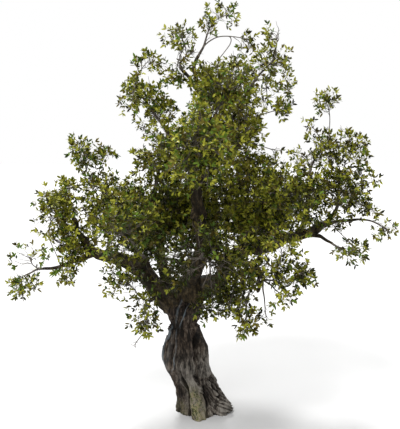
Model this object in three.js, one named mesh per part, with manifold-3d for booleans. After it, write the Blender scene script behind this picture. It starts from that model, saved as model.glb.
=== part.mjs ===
// An old olive tree: a leaning, waisted trunk with root flare, gnarled boughs, and a loose
// crown made of separate masses of foliage. Millimetres, +Z up, seen from -Y with +X to the right.
// The origin is on the flat cut under the trunk, at ground level.

import * as THREE from "three";
import { mergeVertices } from "three/addons/utils/BufferGeometryUtils.js";
import Module from "manifold-3d";

const wasm = await Module();
wasm.setup();

// Driving dimensions of the trunk
const TRUNK_HEIGHT = 1840;
const TRUNK_DOME = 60; // how far the middle of the trunk's top stands up between the boughs
const TRUNK_SIDES = 28;
const TRUNK_RINGS = 16;

// Clearances and shares that every limb and mass keeps to
const GAP = 0.3;
const FINEST = 0.05; // edges shorter than this are joined up
const GNARL = 0.5; // sideways wander of a limb, as a share of its mean radius
const LIMB_STEP = 330; // one ring of a limb about every so many millimetres
const FEWEST_RINGS = 3;
const STOUT_RADIUS = 60; // limbs thicker than this at the base have more sides
const STOUT_SIDES = 8;
const SLIM_SIDES = 5;
const LIMB_TAPER = 0.8; // under 1, a limb thins fastest near its base

// The middle of the crown: every lobe has a spray that points straight away from it
const CROWN_HUB = [-60, 0, 3500];

// The twigs and sprays inside a mass
const TWIG_SIDES = 3;
const STEM_SIDES = 4;
const STEM_END = 18;
const STEM_PIECES = 3;
const STEM_PAST_CENTRE = 0.15; // a stem runs on past its lobe's centre by this share of its way there
const TWIG_PIECES = 2;
const TWIG_TURN = 0.45; // how much of its length a twig keeps to its parent's way
const TWIG_SLANT = 0.6; // least slant a twig likes to leave at: 1 is straight ahead, 0 square
const TWIG_SHARE = 0.6; // a twig's base radius, as a share of its parent's there
const TWIG_TAPER = 0.6; // its tip radius, as a share of its base
const TWIG_THINNEST = 7;
const TWIG_REACH = 0.55; // how far out in its lobe a twig ends: 0 is the centre, 1 the outline
const TWIG_SPACING = 210; // a lobe has one twig for every so many millimetres of its mean half size
const NEAR_TIP = 0.93; // a twig's last spray is rooted this far along it
const BRANCH_SPRAY = 0.85; // length of the spray that ends a lobe's branch, in half sizes of the lobe
const TWIG_SPRAY = 0.42; // and of the one that ends a twig
const SIDE_SPRAY = 0.8; // and the length that the others would like to have
const BARE_LOBE = 290; // a lobe of a smaller mean half size has no twigs but its branch
const SPRAY_REACH = [0.96, 0.9, 0.97, 0.6]; // how far out sprays end, in turn
const OUTERMOST = 0.99; // and the one that points out of the crown
const SPRAYS_PER_AREA = 30; // sprays per square metre of mean half size squared
const FEWEST_SPRAYS = 5;
const SPRAY_LENGTH = 450;
const SPRAY_SHORTEST = 110;
const SPRAY_LONGEST = 540;
const SPRAY_WIDTH = 0.5; // share of its length
const SPRAY_THICKNESS = 12;
const SPRAY_WIDEST_AT = 0.48; // where along its length a spray is widest
const SPRAY_APART = 70; // the centrelines of two sprays stay this far apart, but for their roots
const LIMB_CLEARANCE = 16; // foliage stays this far off every limb
const SPACE_MARGIN = 0.03; // and is further in its own lobe than in any other mass's by this share

// The trunk's axis and mean radius at heights up the stem: leaning left, with a bulge and a waist
const TRUNK_STATIONS = [
  { z: 0, x: 45, y: -20, r: 372 },
  { z: 130, x: 20, y: -15, r: 340 },
  { z: 320, x: -50, y: -5, r: 318 },
  { z: 520, x: -135, y: 0, r: 310 },
  { z: 700, x: -200, y: 0, r: 318 },
  { z: 880, x: -238, y: 0, r: 318 },
  { z: 1050, x: -252, y: 0, r: 290 },
  { z: 1220, x: -255, y: 0, r: 245 },
  { z: 1370, x: -262, y: 0, r: 205 },
  { z: 1440, x: -265, y: 0, r: 208 },
  { z: 1580, x: -268, y: 0, r: 262 },
  { z: 1720, x: -262, y: 0, r: 300 },
  { z: 1840, x: -250, y: 0, r: 205 },
];

// Ribs and hollows of the trunk: heading in degrees (0 is right, -90 the front), how far it stands
// out, its half width in degrees, and the height it is strongest at and fades over
const TRUNK_RIBS = [
  { name: "front root", heading: -98, out: 120, width: 20, at: 0, fade: 420 },
  { name: "right root", heading: -12, out: 90, width: 26, at: 60, fade: 420 },
  { name: "right ledge", heading: -38, out: 55, width: 20, at: 120, fade: 380 },
  { name: "left root", heading: -168, out: 40, width: 22, at: 0, fade: 260 },
  { name: "back root", heading: 75, out: 90, width: 28, at: 0, fade: 380 },
  { name: "back left root", heading: 140, out: 60, width: 24, at: 0, fade: 340 },
  { name: "right shell", heading: -12, out: 34, width: 20, at: 1060, fade: 300 },
  { name: "left cords", heading: 190, out: 26, width: 24, at: 900, fade: 320 },
  { name: "slit hollow", heading: -122, out: -90, width: 11, at: 360, fade: 170 },
  { name: "shell hollow", heading: -44, out: -95, width: 15, at: 1060, fade: 250 },
  { name: "root hollow", heading: -62, out: -60, width: 14, at: 200, fade: 300 },
  { name: "back hollow", heading: 108, out: -60, width: 18, at: 520, fade: 420 },
];

// Limbs: name, parent, where on the parent it starts (share of the parent's length), its tip, how
// far its middle bows from the straight line, and its base and tip radii
const LIMBS = [
  ["leader", "trunk", 0.9, [-20, 30, 3150], [110, 0, 0], 155, 88],
  ["right_bough", "trunk", 0.92, [870, 0, 2690], [30, -20, 60], 150, 96],
  ["left_bough", "trunk", 0.88, [-1730, -250, 2650], [-30, -40, 200], 165, 64],
  ["crook_bough", "trunk", 0.93, [-700, 170, 3620], [-210, 60, 0], 92, 36],
  ["leader_top", "leader", 0.97, [70, 0, 5120], [-70, 60, 0], 82, 34],
  ["right_limb", "right_bough", 0.97, [1830, 0, 2960], [0, 0, -50], 90, 60],
  ["left_riser", "left_bough", 0.97, [-1920, -180, 3120], [-60, 0, 0], 52, 34],
  ["left_arm", "left_bough", 0.93, [-2440, -300, 2370], [0, -30, -50], 36, 20],
  ["left_high_bough", "crook_bough", 0.42, [-1440, 180, 3420], [-60, 40, -80], 44, 28],
  ["left_inner_bough", "left_bough", 0.4, [-1080, -260, 2800], [40, -40, 0], 42, 26],
  ["lower_left_bough", "left_bough", 0.2, [-780, -800, 2010], [0, 20, -50], 32, 20],
  ["front_left_bough", "left_bough", 0.24, [-820, -760, 2640], [40, -40, 0], 46, 28],
  ["top_bough", "leader_top", 0.97, [-10, 0, 5640], [-110, 0, 0], 32, 22],
  ["top_left_bough", "leader_top", 0.94, [-300, 30, 5440], [-20, 0, 30], 27, 19],
  ["upper_left_bough", "leader_top", 0.28, [-560, -60, 4560], [20, 20, -20], 48, 28],
  ["upper_right_bough", "leader_top", 0.3, [700, -60, 4380], [40, 0, -50], 46, 27],
  ["top_right_bough", "leader_top", 0.55, [780, 240, 5150], [50, 0, -60], 40, 24],
  ["crown_bough", "leader_top", 0.62, [240, -330, 4740], [20, -40, 0], 34, 22],
  ["right_riser", "right_limb", 0.97, [2150, 20, 3260], [30, 0, -40], 50, 31],
  ["right_arm", "right_limb", 0.93, [2480, -80, 3110], [0, 0, 40], 32, 18],
  ["right_drop", "right_limb", 0.86, [2060, -240, 2740], [20, -10, 20], 32, 19],
  ["right_spire", "right_limb", 0.72, [1740, 120, 3820], [70, 0, 0], 40, 25],
  ["right_inner_bough", "right_limb", 0.12, [1150, -180, 3130], [0, -20, 0], 48, 29],
  ["lower_right_bough", "right_bough", 0.66, [900, -780, 2400], [0, -60, 90], 56, 33],
  ["hook_stub", "lower_right_bough", 0.8, [850, -650, 2080], [60, 0, 0], 27, 23],
  ["front_bough", "leader", 0.3, [40, -900, 2680], [0, -60, -60], 62, 34],
  ["front_top_bough", "leader", 0.86, [-120, -560, 3760], [0, -70, -30], 52, 30],
  ["back_bough", "leader", 0.35, [30, 980, 2860], [0, 40, -90], 62, 34],
  ["back_left_bough", "crook_bough", 0.34, [-980, 900, 2860], [0, 40, -60], 46, 28],
  ["back_right_bough", "right_bough", 0.72, [960, 900, 2980], [0, 30, -60], 50, 29],
  ["back_crown_bough", "leader_top", 0.5, [200, 420, 4830], [0, 40, -30], 38, 24],
  ["back_top_bough", "leader_top", 0.22, [120, 620, 4050], [0, 60, -40], 46, 28],
].map(([name, from, at, tip, bow, base, end]) => ({ name, from, at, tip, bow, base, end }));

// Masses of foliage: the limb whose tip carries each, and the lobes its leaves fill, first the one
// its stem goes into: where a lobe's centre is (x, y, z) and its half sizes (across, deep, high)
const MASSES = [
  { name: "foliage_left_tip", on: "left_arm", lobes: [
    [-2700, -340, 2260, 240, 280, 200],
    [-2610, -340, 2570, 280, 320, 190],
    [-2720, -380, 2110, 270, 320, 150],
  ] },
  { name: "foliage_left", on: "left_riser", lobes: [
    [-2110, -250, 3170, 500, 620, 500],
    [-2060, -420, 2300, 160, 240, 190],
    [-1900, -300, 2720, 320, 380, 230],
  ] },
  { name: "foliage_left_high", on: "left_high_bough", lobes: [
    [-1630, 220, 3580, 340, 440, 320],
    [-1840, 180, 4130, 320, 420, 290],
    [-1520, 220, 4100, 160, 240, 200],
    [-2080, -60, 3580, 230, 340, 220],
  ] },
  { name: "foliage_left_inner", on: "left_inner_bough", lobes: [
    [-1200, -240, 3190, 540, 600, 520],
    [-1700, -160, 3280, 280, 400, 320],
    [-800, -160, 2760, 330, 340, 290],
  ] },
  { name: "foliage_mid_left", on: "crook_bough", lobes: [
    [-620, 220, 4150, 430, 580, 600],
    [-970, 200, 4560, 160, 260, 150],
    [-520, 480, 3180, 400, 400, 480],
  ] },
  { name: "foliage_upper_left", on: "upper_left_bough", lobes: [
    [-940, -100, 5050, 440, 500, 330],
    [-790, -60, 5530, 190, 280, 200],
    [-620, 0, 4700, 280, 360, 230],
  ] },
  { name: "foliage_top_left", on: "top_left_bough", lobes: [
    [-120, 0, 5650, 220, 320, 200],
    [-300, 20, 5920, 280, 380, 200],
    [-370, -40, 5360, 320, 340, 210],
  ] },
  { name: "foliage_top", on: "top_bough", lobes: [
    [120, -40, 5980, 140, 260, 230],
    [350, -60, 6210, 250, 360, 210],
    [760, 0, 5850, 180, 320, 270],
    [230, -60, 5500, 200, 280, 130],
  ] },
  { name: "foliage_top_right", on: "top_right_bough", lobes: [
    [1090, 260, 5510, 350, 440, 320],
    [1190, 220, 5960, 180, 300, 200],
    [1400, 260, 5120, 130, 240, 160],
    [1040, 130, 5050, 200, 340, 220],
  ] },
  { name: "foliage_crown", on: "crown_bough", lobes: [[400, -420, 5140, 500, 560, 500]] },
  { name: "foliage_upper_right", on: "upper_right_bough", lobes: [
    [690, 60, 4620, 350, 580, 500],
    [1300, 0, 4830, 220, 300, 160],
    [780, 250, 3770, 420, 460, 440],
    [1200, 100, 4180, 110, 200, 110],
  ] },
  { name: "foliage_right_high", on: "right_spire", lobes: [
    [1920, 100, 4150, 380, 500, 410],
    [1960, 100, 4940, 190, 260, 190],
    [1730, 100, 4580, 130, 200, 170],
    [1610, 60, 4080, 220, 320, 220],
  ] },
  { name: "foliage_right", on: "right_riser", lobes: [
    [2170, 0, 3530, 560, 640, 500],
    [2400, 40, 4190, 230, 320, 240],
    [2200, 60, 4510, 90, 180, 120],
    [2790, 20, 3690, 120, 200, 100],
    [2600, -20, 3290, 240, 300, 140],
  ] },
  { name: "foliage_right_tip", on: "right_arm", lobes: [[2880, -100, 2960, 200, 280, 190]] },
  { name: "foliage_right_low", on: "right_drop", lobes: [
    [2320, -260, 2620, 350, 360, 180],
    [2030, -80, 3080, 280, 320, 220],
  ] },
  { name: "foliage_right_inner", on: "right_inner_bough", lobes: [
    [1330, -260, 3460, 660, 660, 580],
    [760, 150, 3090, 360, 420, 340],
    [940, -560, 2960, 400, 360, 220],
  ] },
  { name: "foliage_lower_right", on: "lower_right_bough", lobes: [
    [560, -1200, 2260, 450, 580, 420],
    [650, -1220, 1730, 150, 240, 150],
    [1160, -1160, 2190, 240, 360, 190],
    [940, -1160, 1850, 100, 200, 150],
    [1490, -1100, 2430, 230, 320, 180],
    [1150, -1050, 2820, 320, 400, 210],
    [1000, -950, 2560, 330, 380, 300],
  ] },
  { name: "foliage_lower_left", on: "lower_left_bough", lobes: [
    [-750, -1150, 1880, 250, 440, 360],
    [-930, -1200, 1460, 100, 200, 110],
    [-1120, -870, 2370, 330, 400, 280],
  ] },
  { name: "foliage_front", on: "front_bough", lobes: [
    [110, -1500, 2720, 680, 700, 540],
    [180, -780, 1900, 250, 300, 250],
  ] },
  { name: "foliage_front_high", on: "front_top_bough", lobes: [[-60, -980, 4270, 670, 660, 590]] },
  { name: "foliage_front_left", on: "front_left_bough", lobes: [
    [-1060, -1150, 3020, 480, 580, 470],
  ] },
  { name: "foliage_back", on: "back_bough", lobes: [
    [90, 1620, 3310, 910, 740, 800],
    [-200, 760, 3100, 460, 400, 520],
  ] },
  { name: "foliage_back_left", on: "back_left_bough", lobes: [[-1240, 1320, 3170, 710, 680, 590]] },
  { name: "foliage_back_right", on: "back_right_bough", lobes: [[1430, 1380, 3250, 770, 680, 620]] },
  { name: "foliage_back_crown", on: "back_crown_bough", lobes: [[500, 780, 5030, 600, 520, 530]] },
  { name: "foliage_back_high", on: "back_top_bough", lobes: [[270, 1060, 4430, 790, 660, 720]] },
];

const BARK = new THREE.MeshStandardMaterial({ color: 0x5e554c, roughness: 0.95, metalness: 0 });
const LEAF = new THREE.MeshStandardMaterial({ color: 0x5f6627, roughness: 0.6, metalness: 0 });

const UP = new THREE.Vector3(0, 0, 1);
const vector = (p) => new THREE.Vector3(p[0], p[1], p[2]);
const share = (x) => x - Math.floor(x);
const mix = (a, b, t) => a + (b - a) * t;

// A seeded number from 0 to 1: the same two whole numbers always give the same one.
const SEED_STEPS = [12.9898, 78.233, 43758.5453];
const seeded = (seed, k) => share(Math.sin(seed * SEED_STEPS[0] + k * SEED_STEPS[1]) * SEED_STEPS[2]);

const GOLDEN_ANGLE = Math.PI * (3 - Math.sqrt(5));

// A closed three.js geometry as a solid, from its positions alone.
function solid(geometry) {
  const bare = new THREE.BufferGeometry();
  bare.setAttribute("position", geometry.getAttribute("position"));
  bare.setIndex(geometry.getIndex());
  const merged = mergeVertices(bare, 1e-3);
  return new wasm.Manifold(
    new wasm.Mesh({
      numProp: 3,
      vertProperties: merged.getAttribute("position").array,
      triVerts: new Uint32Array(merged.getIndex().array),
    }),
  );
}

// The surface of a solid as a three.js geometry.
function surface(body) {
  const { vertProperties, triVerts, numProp, numVert } = body.getMesh();
  const positions = new Float32Array(numVert * 3);
  for (let i = 0; i < numVert; i++) {
    positions.set(vertProperties.subarray(i * numProp, i * numProp + 3), i * 3);
  }
  const geometry = new THREE.BufferGeometry();
  geometry.setAttribute("position", new THREE.BufferAttribute(positions, 3));
  geometry.setIndex(new THREE.BufferAttribute(triVerts, 1));
  return geometry;
}

// The largest piece of a solid, its finest points joined up: scraps and sealed hollows are left out.
const biggest = (bodies) => bodies.reduce((a, b) => (b.volume() > a.volume() ? b : a));
const largest = (body) =>
  biggest(solid(surface(biggest(body.decompose()).simplify(FINEST))).decompose()).simplify(FINEST);

// A solid as a named mesh.
function part(name, body, material) {
  const geometry = surface(body);
  geometry.computeVertexNormals();
  const mesh = new THREE.Mesh(geometry, material);
  mesh.name = name;
  return mesh;
}

// One field of the trunk's stations at height z, on a smooth curve through them.
function station(field, z) {
  const s = TRUNK_STATIONS;
  const next = s.findIndex((row) => row.z > z);
  const i = next < 0 ? s.length - 2 : Math.max(0, next - 1);
  const [p0, p1, p2, p3] = [i - 1, i, i + 1, i + 2].map((k) => s[Math.min(s.length - 1, Math.max(0, k))]);
  const t = Math.min(1, (z - p1.z) / (p2.z - p1.z));
  const m1 = ((p2[field] - p0[field]) / (p2.z - p0.z)) * (p2.z - p1.z);
  const m2 = ((p3[field] - p1[field]) / (p3.z - p1.z)) * (p2.z - p1.z);
  const [t2, t3] = [t * t, t * t * t];
  return (2 * t3 - 3 * t2 + 1) * p1[field] + (t3 - 2 * t2 + t) * m1
    + (3 * t2 - 2 * t3) * p2[field] + (t3 - t2) * m2;
}

// The trunk's radius at a heading and height: the mean radius, and each rib or hollow as a bell
// across its heading and over its height.
function trunkRadius(heading, z) {
  const ribs = TRUNK_RIBS.map((rib) => {
    const off = (((heading - rib.heading) % 360) + 540) % 360 - 180;
    return rib.out * Math.exp(-((off / rib.width) ** 2)) * Math.exp(-(((z - rib.at) / rib.fade) ** 2));
  });
  return station("r", z) + ribs.reduce((a, b) => a + b, 0);
}

const trunkAxis = (z) => new THREE.Vector3(station("x", z), station("y", z), z);

// The trunk: a capped cylinder whose rings follow the axis and the ribs. Its underside is flat.
function trunkSolid(grow = 0) {
  const g = new THREE.CylinderGeometry(1, 1, TRUNK_HEIGHT, TRUNK_SIDES, TRUNK_RINGS);
  const p = g.getAttribute("position");
  for (let i = 0; i < p.count; i++) {
    const z = p.getY(i) + TRUNK_HEIGHT / 2;
    const across = Math.hypot(p.getX(i), p.getZ(i));
    const heading = Math.atan2(-p.getZ(i), p.getX(i));
    const axis = trunkAxis(z);
    const r = across > 0.5 ? trunkRadius(THREE.MathUtils.radToDeg(heading), z) + grow : 0;
    const rise = (across > 0.5 || z < TRUNK_HEIGHT / 2 ? 0 : TRUNK_DOME) + (z > 1 ? grow : 0);
    p.setXYZ(i, axis.x + r * Math.cos(heading), axis.y + r * Math.sin(heading), z + rise);
  }
  return solid(g);
}

// A limb's centreline: the straight line from its start to its tip, bowed by a parabola and
// wandering by a seeded wave that fades out at both ends.
function limbPath(limb, index, paths) {
  const parent = paths.get(limb.from);
  const start = parent ? parent.at(limb.at) : trunkAxis(limb.at * TRUNK_HEIGHT);
  const [tip, bow] = [vector(limb.tip), vector(limb.bow)];
  const wander = GNARL * (limb.base + limb.end);
  const [side, rise] = [seeded(index, 1), seeded(index, 2)];
  const at = (t) => {
    const fade = 4 * t * (1 - t);
    const wave = (phase) => wander * fade * Math.sin(2 * Math.PI * (1.5 * t + phase)) / 2;
    return start.clone().lerp(tip, t).addScaledVector(bow, fade)
      .add(new THREE.Vector3(wave(side), wave(side + 0.3), wave(rise)));
  };
  const tangent = (t) => at(Math.min(1, t + 0.01)).sub(at(Math.max(0, t - 0.01))).normalize();
  const radius = (t) => mix(limb.base, limb.end, t ** LIMB_TAPER);
  return { at, tangent, radius, length: start.distanceTo(tip) };
}

// A capped cylinder bent along a path, its radius changing on the way and its rings not twisting.
function along(path, sides, segments, grow = 0) {
  const g = new THREE.CylinderGeometry(1, 1, 1, sides, segments);
  const p = g.getAttribute("position");
  let across = new THREE.Vector3(1, 0, 0).cross(path.tangent(0));
  if (across.length() < 0.5) across = new THREE.Vector3(0, 0, 1);
  const frames = Array.from({ length: segments + 1 }, (_, i) => {
    const t = i / segments;
    const ahead = path.tangent(t);
    across = across.clone().addScaledVector(ahead, -across.dot(ahead)).normalize();
    return { t, ahead, across, over: new THREE.Vector3().crossVectors(across, ahead) };
  });
  for (let i = 0; i < p.count; i++) {
    const f = frames[Math.round((p.getY(i) + 0.5) * segments)];
    const r = path.radius(f.t) + grow;
    const v = path.at(f.t).addScaledVector(f.ahead, f.t === 1 ? grow : 0)
      .addScaledVector(f.across, r * p.getX(i)).addScaledVector(f.over, r * p.getZ(i));
    p.setXYZ(i, v.x, v.y, v.z);
  }
  return solid(g);
}

function limbSolid(limb, path, grow = 0) {
  const sides = limb.base > STOUT_RADIUS ? STOUT_SIDES : SLIM_SIDES;
  return along(path, sides, Math.max(FEWEST_RINGS, Math.round(path.length / LIMB_STEP)), grow);
}

// A twig inside a mass: it leaves its parent's way and turns to where it ends, in straight pieces.
function twigPath(start, away, end, [base, tip], pieces) {
  const length = start.distanceTo(end);
  const turn = start.clone().addScaledVector(away, TWIG_TURN * length);
  const curve = new THREE.QuadraticBezierCurve3(start, turn, end);
  const at = (t) => {
    const i = Math.min(pieces - 1, Math.floor(t * pieces));
    return curve.getPoint(i / pieces).lerp(curve.getPoint((i + 1) / pieces), t * pieces - i);
  };
  return { at, tangent: (t) => curve.getTangent(t), radius: (t) => mix(base, tip, t) };
}

// One spray: an eight-faced blade from a root on its twig's axis to its tip, rolled about its way.
function spraySolid(root, tip, roll) {
  const g = new THREE.OctahedronGeometry(1);
  const ahead = tip.clone().sub(root);
  const length = ahead.length();
  ahead.normalize();
  const flat = new THREE.Vector3().crossVectors(UP, ahead).normalize().applyAxisAngle(ahead, roll);
  const over = new THREE.Vector3().crossVectors(ahead, flat);
  const p = g.getAttribute("position");
  const place = (x, y, z) => {
    const forward = Math.abs(x) > 0.5 ? (x > 0 ? length : 0) : length * SPRAY_WIDEST_AT;
    return root.clone().addScaledVector(ahead, forward)
      .addScaledVector(flat, y * length * SPRAY_WIDTH / 2).addScaledVector(over, z * SPRAY_THICKNESS / 2);
  };
  for (let i = 0; i < p.count; i++) p.setXYZ(i, ...place(p.getX(i), p.getY(i), p.getZ(i)).toArray());
  return { body: solid(g), corners: [place(0, -1, 0), place(0, 1, 0)] };
}

// How far out a point lies in a lobe: 0 at the centre, 1 on the outline; and in the nearest lobe.
const outInLobe = (lobe, p) => Math.hypot(...[p.x, p.y, p.z].map((c, i) => (c - lobe[i]) / lobe[i + 3]));
const outness = (mass, p) => Math.min(...mass.lobes.map((lobe) => outInLobe(lobe, p)));

// A point is in a mass's own space if it is inside one of its lobes and further in than in any
// other mass's.
function inOwnSpace(mass, p) {
  const own = outness(mass, p);
  return own < 1 && MASSES.every((other) => other === mass || outness(other, p) > own + SPACE_MARGIN);
}

// Whether a solid runs into another: their boxes first, then the solids themselves.
function hits(a, b) {
  const [p, q] = [a.boundingBox(), b.boundingBox()];
  const apart = [0, 1, 2].some((i) => p.min[i] > q.max[i] || q.min[i] > p.max[i]);
  return !apart && !a.intersect(b).isEmpty();
}

// Points along the line from a to b, and samples along a path from a share of its length on.
const between = (a, b) => [0.2, 0.4, 0.6, 0.8, 1].map((t) => a.clone().lerp(b, t));
const samplesOf = (path, from, count) => Array.from({ length: count }, (_, i) => {
  const t = mix(from, 1, i / (count - 1));
  return { point: path.at(t), tangent: path.tangent(t), radius: path.radius(t) };
});

// The point of the twigs so far that suits a new one best: about the wanted length away from where
// it should end, and leaving at a slant rather than backwards.
function bestStart(network, end, wanted) {
  let best = null;
  for (const s of network) {
    const way = end.clone().sub(s.point);
    const length = way.length();
    const slant = way.dot(s.tangent) / length;
    const cost = Math.abs(length / wanted - 1) + Math.max(0, TWIG_SLANT - slant);
    if (!best || cost < best.cost) best = { cost, length, ...s };
  }
  return best;
}

// The k-th of n directions spread evenly over the sphere, turned by a seeded angle.
function direction(seed, k, n) {
  const up = 1 - (2 * k + 1) / n;
  const turn = GOLDEN_ANGLE * k + 2 * Math.PI * seeded(seed, 7);
  const flat = Math.sqrt(1 - up * up);
  return new THREE.Vector3(flat * Math.cos(turn), flat * Math.sin(turn), up);
}

const inLobe = (lobe, way, out) => new THREE.Vector3(
  lobe[0] + way.x * lobe[3] * out, lobe[1] + way.y * lobe[4] * out, lobe[2] + way.z * lobe[5] * out,
);

// One mass of foliage: a stem from the limb's tip into the first lobe, a branch into each other
// lobe, twigs spread evenly in each, and sprays spread evenly under each outline.
function massSolid(mass, index, paths, neighbours) {
  const limb = paths.get(mass.on);
  const [tip, ahead] = [limb.at(1), limb.tangent(1)];
  const centres = mass.lobes.map(vector);
  const stemEnd = centres[0].clone().lerp(tip, -STEM_PAST_CENTRE);
  const start = tip.clone().addScaledVector(ahead, GAP);
  const stem = twigPath(start, ahead, stemEnd, [limb.radius(1), STEM_END], STEM_PIECES);
  const bodies = [along(stem, STEM_SIDES, STEM_PIECES)];
  const network = samplesOf(stem, 0.15, 10);
  const sprays = [];
  const inPlace = (points) => points.every((p) => inOwnSpace(mass, p));
  const isFree = (body) => !neighbours.some((other) => hits(body, other));
  const addTwig = (s, end, length, k) => {
    const base = Math.max(TWIG_THINNEST, TWIG_SHARE * s.radius);
    const radii = [base, Math.max(TWIG_THINNEST, TWIG_TAPER * base)];
    const path = twigPath(s.point, s.tangent, end, radii, TWIG_PIECES);
    const body = along(path, TWIG_SIDES, TWIG_PIECES);
    if (!isFree(body)) return;
    bodies.push(body);
    network.push(...samplesOf(path, 0.25, 8));
    const onward = end.clone().addScaledVector(path.tangent(1), Math.min(SPRAY_LENGTH, length));
    addSpray({ point: path.at(NEAR_TIP) }, onward, k);
  };
  const addSpray = (s, end, k) => {
    const line = between(s.point, end);
    const crowded = line.slice(1).some((p) => sprays.some((q) => q.distanceTo(p) < SPRAY_APART));
    const spray = spraySolid(s.point, end, Math.PI * seeded(index + 40, k));
    if (crowded || !inPlace([...line, ...spray.corners]) || !isFree(spray.body)) return;
    bodies.push(spray.body);
    sprays.push(...line.slice(1));
  };
  mass.lobes.forEach((lobe, l) => {
    const size = (lobe[3] + lobe[4] + lobe[5]) / 3;
    const seed = 10 * index + l;
    const apart = centres[l].distanceTo(centres[0]);
    if (l > 0) addTwig(bestStart(network, centres[l], apart), centres[l], BRANCH_SPRAY * size, 0);
    const twigs = size < BARE_LOBE ? 0 : Math.round(size / TWIG_SPACING);
    for (let k = 0; k < twigs; k++) {
      const way = direction(seed, k, twigs);
      const end = inLobe(lobe, way, TWIG_REACH);
      const s = bestStart(network, end, TWIG_REACH * size);
      if (s.length < SPRAY_SHORTEST || !inPlace(between(s.point, end))) continue;
      addTwig(s, end, TWIG_SPRAY * size, k + 1);
    }
    const count = Math.max(FEWEST_SPRAYS, Math.round(SPRAYS_PER_AREA * (size / 1000) ** 2));
    const outward = centres[l].clone().sub(vector(CROWN_HUB)).normalize();
    for (let k = -1; k < count; k++) {
      const way = k < 0 ? outward : direction(seed + 5, k, count);
      const end = inLobe(lobe, way, k < 0 ? OUTERMOST : SPRAY_REACH[k % SPRAY_REACH.length]);
      const s = bestStart(network, end, Math.min(SPRAY_LENGTH, SIDE_SPRAY * size));
      if (s.length > SPRAY_SHORTEST && s.length < SPRAY_LONGEST) addSpray(s, end, k + 20);
    }
  });
  return largest(bodies.reduce((a, b) => a.add(b)));
}

const tree = new THREE.Group();
tree.add(part("trunk", trunkSolid(), BARK));

const paths = new Map();
const cutters = [trunkSolid(GAP)];
const neighbours = [trunkSolid(LIMB_CLEARANCE)];
LIMBS.forEach((limb, index) => {
  const path = limbPath(limb, index, paths);
  paths.set(limb.name, path);
  const body = cutters.reduce((left, other) => left.subtract(other), limbSolid(limb, path));
  cutters.push(limbSolid(limb, path, GAP));
  neighbours.push(limbSolid(limb, path, LIMB_CLEARANCE));
  tree.add(part(limb.name, largest(body), BARK));
});

MASSES.forEach((mass, index) => {
  const body = massSolid(mass, index, paths, neighbours);
  neighbours.push(body);
  tree.add(part(mass.name, body, LEAF));
});

export default tree;
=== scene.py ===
"""An old olive tree: a leaning, waisted trunk, gnarled boughs and a loose crown of leafy shoots.

Metres, +Z up, seen from -Y. The tables of the trunk, the limbs and the masses are in millimetres
and say what the solids say, so every surface here lies where its solid is.
"""

import itertools
import math
from collections import namedtuple

import bpy
import numpy as np
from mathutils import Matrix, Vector


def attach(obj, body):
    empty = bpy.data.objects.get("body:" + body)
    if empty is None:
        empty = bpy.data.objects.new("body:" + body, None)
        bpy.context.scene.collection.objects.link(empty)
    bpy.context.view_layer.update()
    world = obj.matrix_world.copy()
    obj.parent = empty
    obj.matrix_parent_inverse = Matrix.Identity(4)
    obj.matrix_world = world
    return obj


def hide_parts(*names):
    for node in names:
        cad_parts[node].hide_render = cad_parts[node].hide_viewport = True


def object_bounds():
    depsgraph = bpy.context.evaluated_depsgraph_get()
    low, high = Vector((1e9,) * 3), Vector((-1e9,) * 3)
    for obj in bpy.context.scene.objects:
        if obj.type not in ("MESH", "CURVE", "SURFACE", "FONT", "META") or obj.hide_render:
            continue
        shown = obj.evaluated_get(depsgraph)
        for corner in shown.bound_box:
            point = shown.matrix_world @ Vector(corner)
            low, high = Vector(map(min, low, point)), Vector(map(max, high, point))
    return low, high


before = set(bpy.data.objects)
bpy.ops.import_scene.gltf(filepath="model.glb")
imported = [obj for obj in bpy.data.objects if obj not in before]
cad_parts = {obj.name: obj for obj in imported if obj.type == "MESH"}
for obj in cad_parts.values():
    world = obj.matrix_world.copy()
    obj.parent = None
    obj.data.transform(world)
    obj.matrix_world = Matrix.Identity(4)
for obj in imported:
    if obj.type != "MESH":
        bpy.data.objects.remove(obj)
CAD_BOX = [list(corner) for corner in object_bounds()]

MM = 0.001
GOLDEN_ANGLE = math.pi * (3 - math.sqrt(5))
UP = np.array([0.0, 0.0, 1.0])

# The tables of the solids

TRUNK_HEIGHT = 1840 * MM
TRUNK_DOME = 60 * MM
# Height, where the axis is (x, y), mean radius
TRUNK_STATIONS = MM * np.array([
    (0, 45, -20, 372), (130, 20, -15, 340), (320, -50, -5, 318), (520, -135, 0, 310),
    (700, -200, 0, 318), (880, -238, 0, 318), (1050, -252, 0, 290), (1220, -255, 0, 245),
    (1370, -262, 0, 205), (1440, -265, 0, 208), (1580, -268, 0, 262), (1720, -262, 0, 300),
    (1840, -250, 0, 205),
])
# Name, heading in degrees (0 is right, -90 the front), how far it stands out, its half width in
# degrees, the height where it is strongest and the height over which it fades
TRUNK_RIBS = [
    ("front root", -98, 120, 20, 0, 420), ("right root", -12, 90, 26, 60, 420),
    ("right ledge", -38, 55, 20, 120, 380), ("left root", -168, 40, 22, 0, 260),
    ("back root", 75, 90, 28, 0, 380), ("back left root", 140, 60, 24, 0, 340),
    ("right shell", -12, 34, 20, 1060, 300), ("left cords", 190, 26, 24, 900, 320),
    ("slit hollow", -122, -90, 11, 360, 170), ("shell hollow", -44, -95, 15, 1060, 250),
    ("root hollow", -62, -60, 14, 200, 300), ("back hollow", 108, -60, 18, 520, 420),
]
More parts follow.
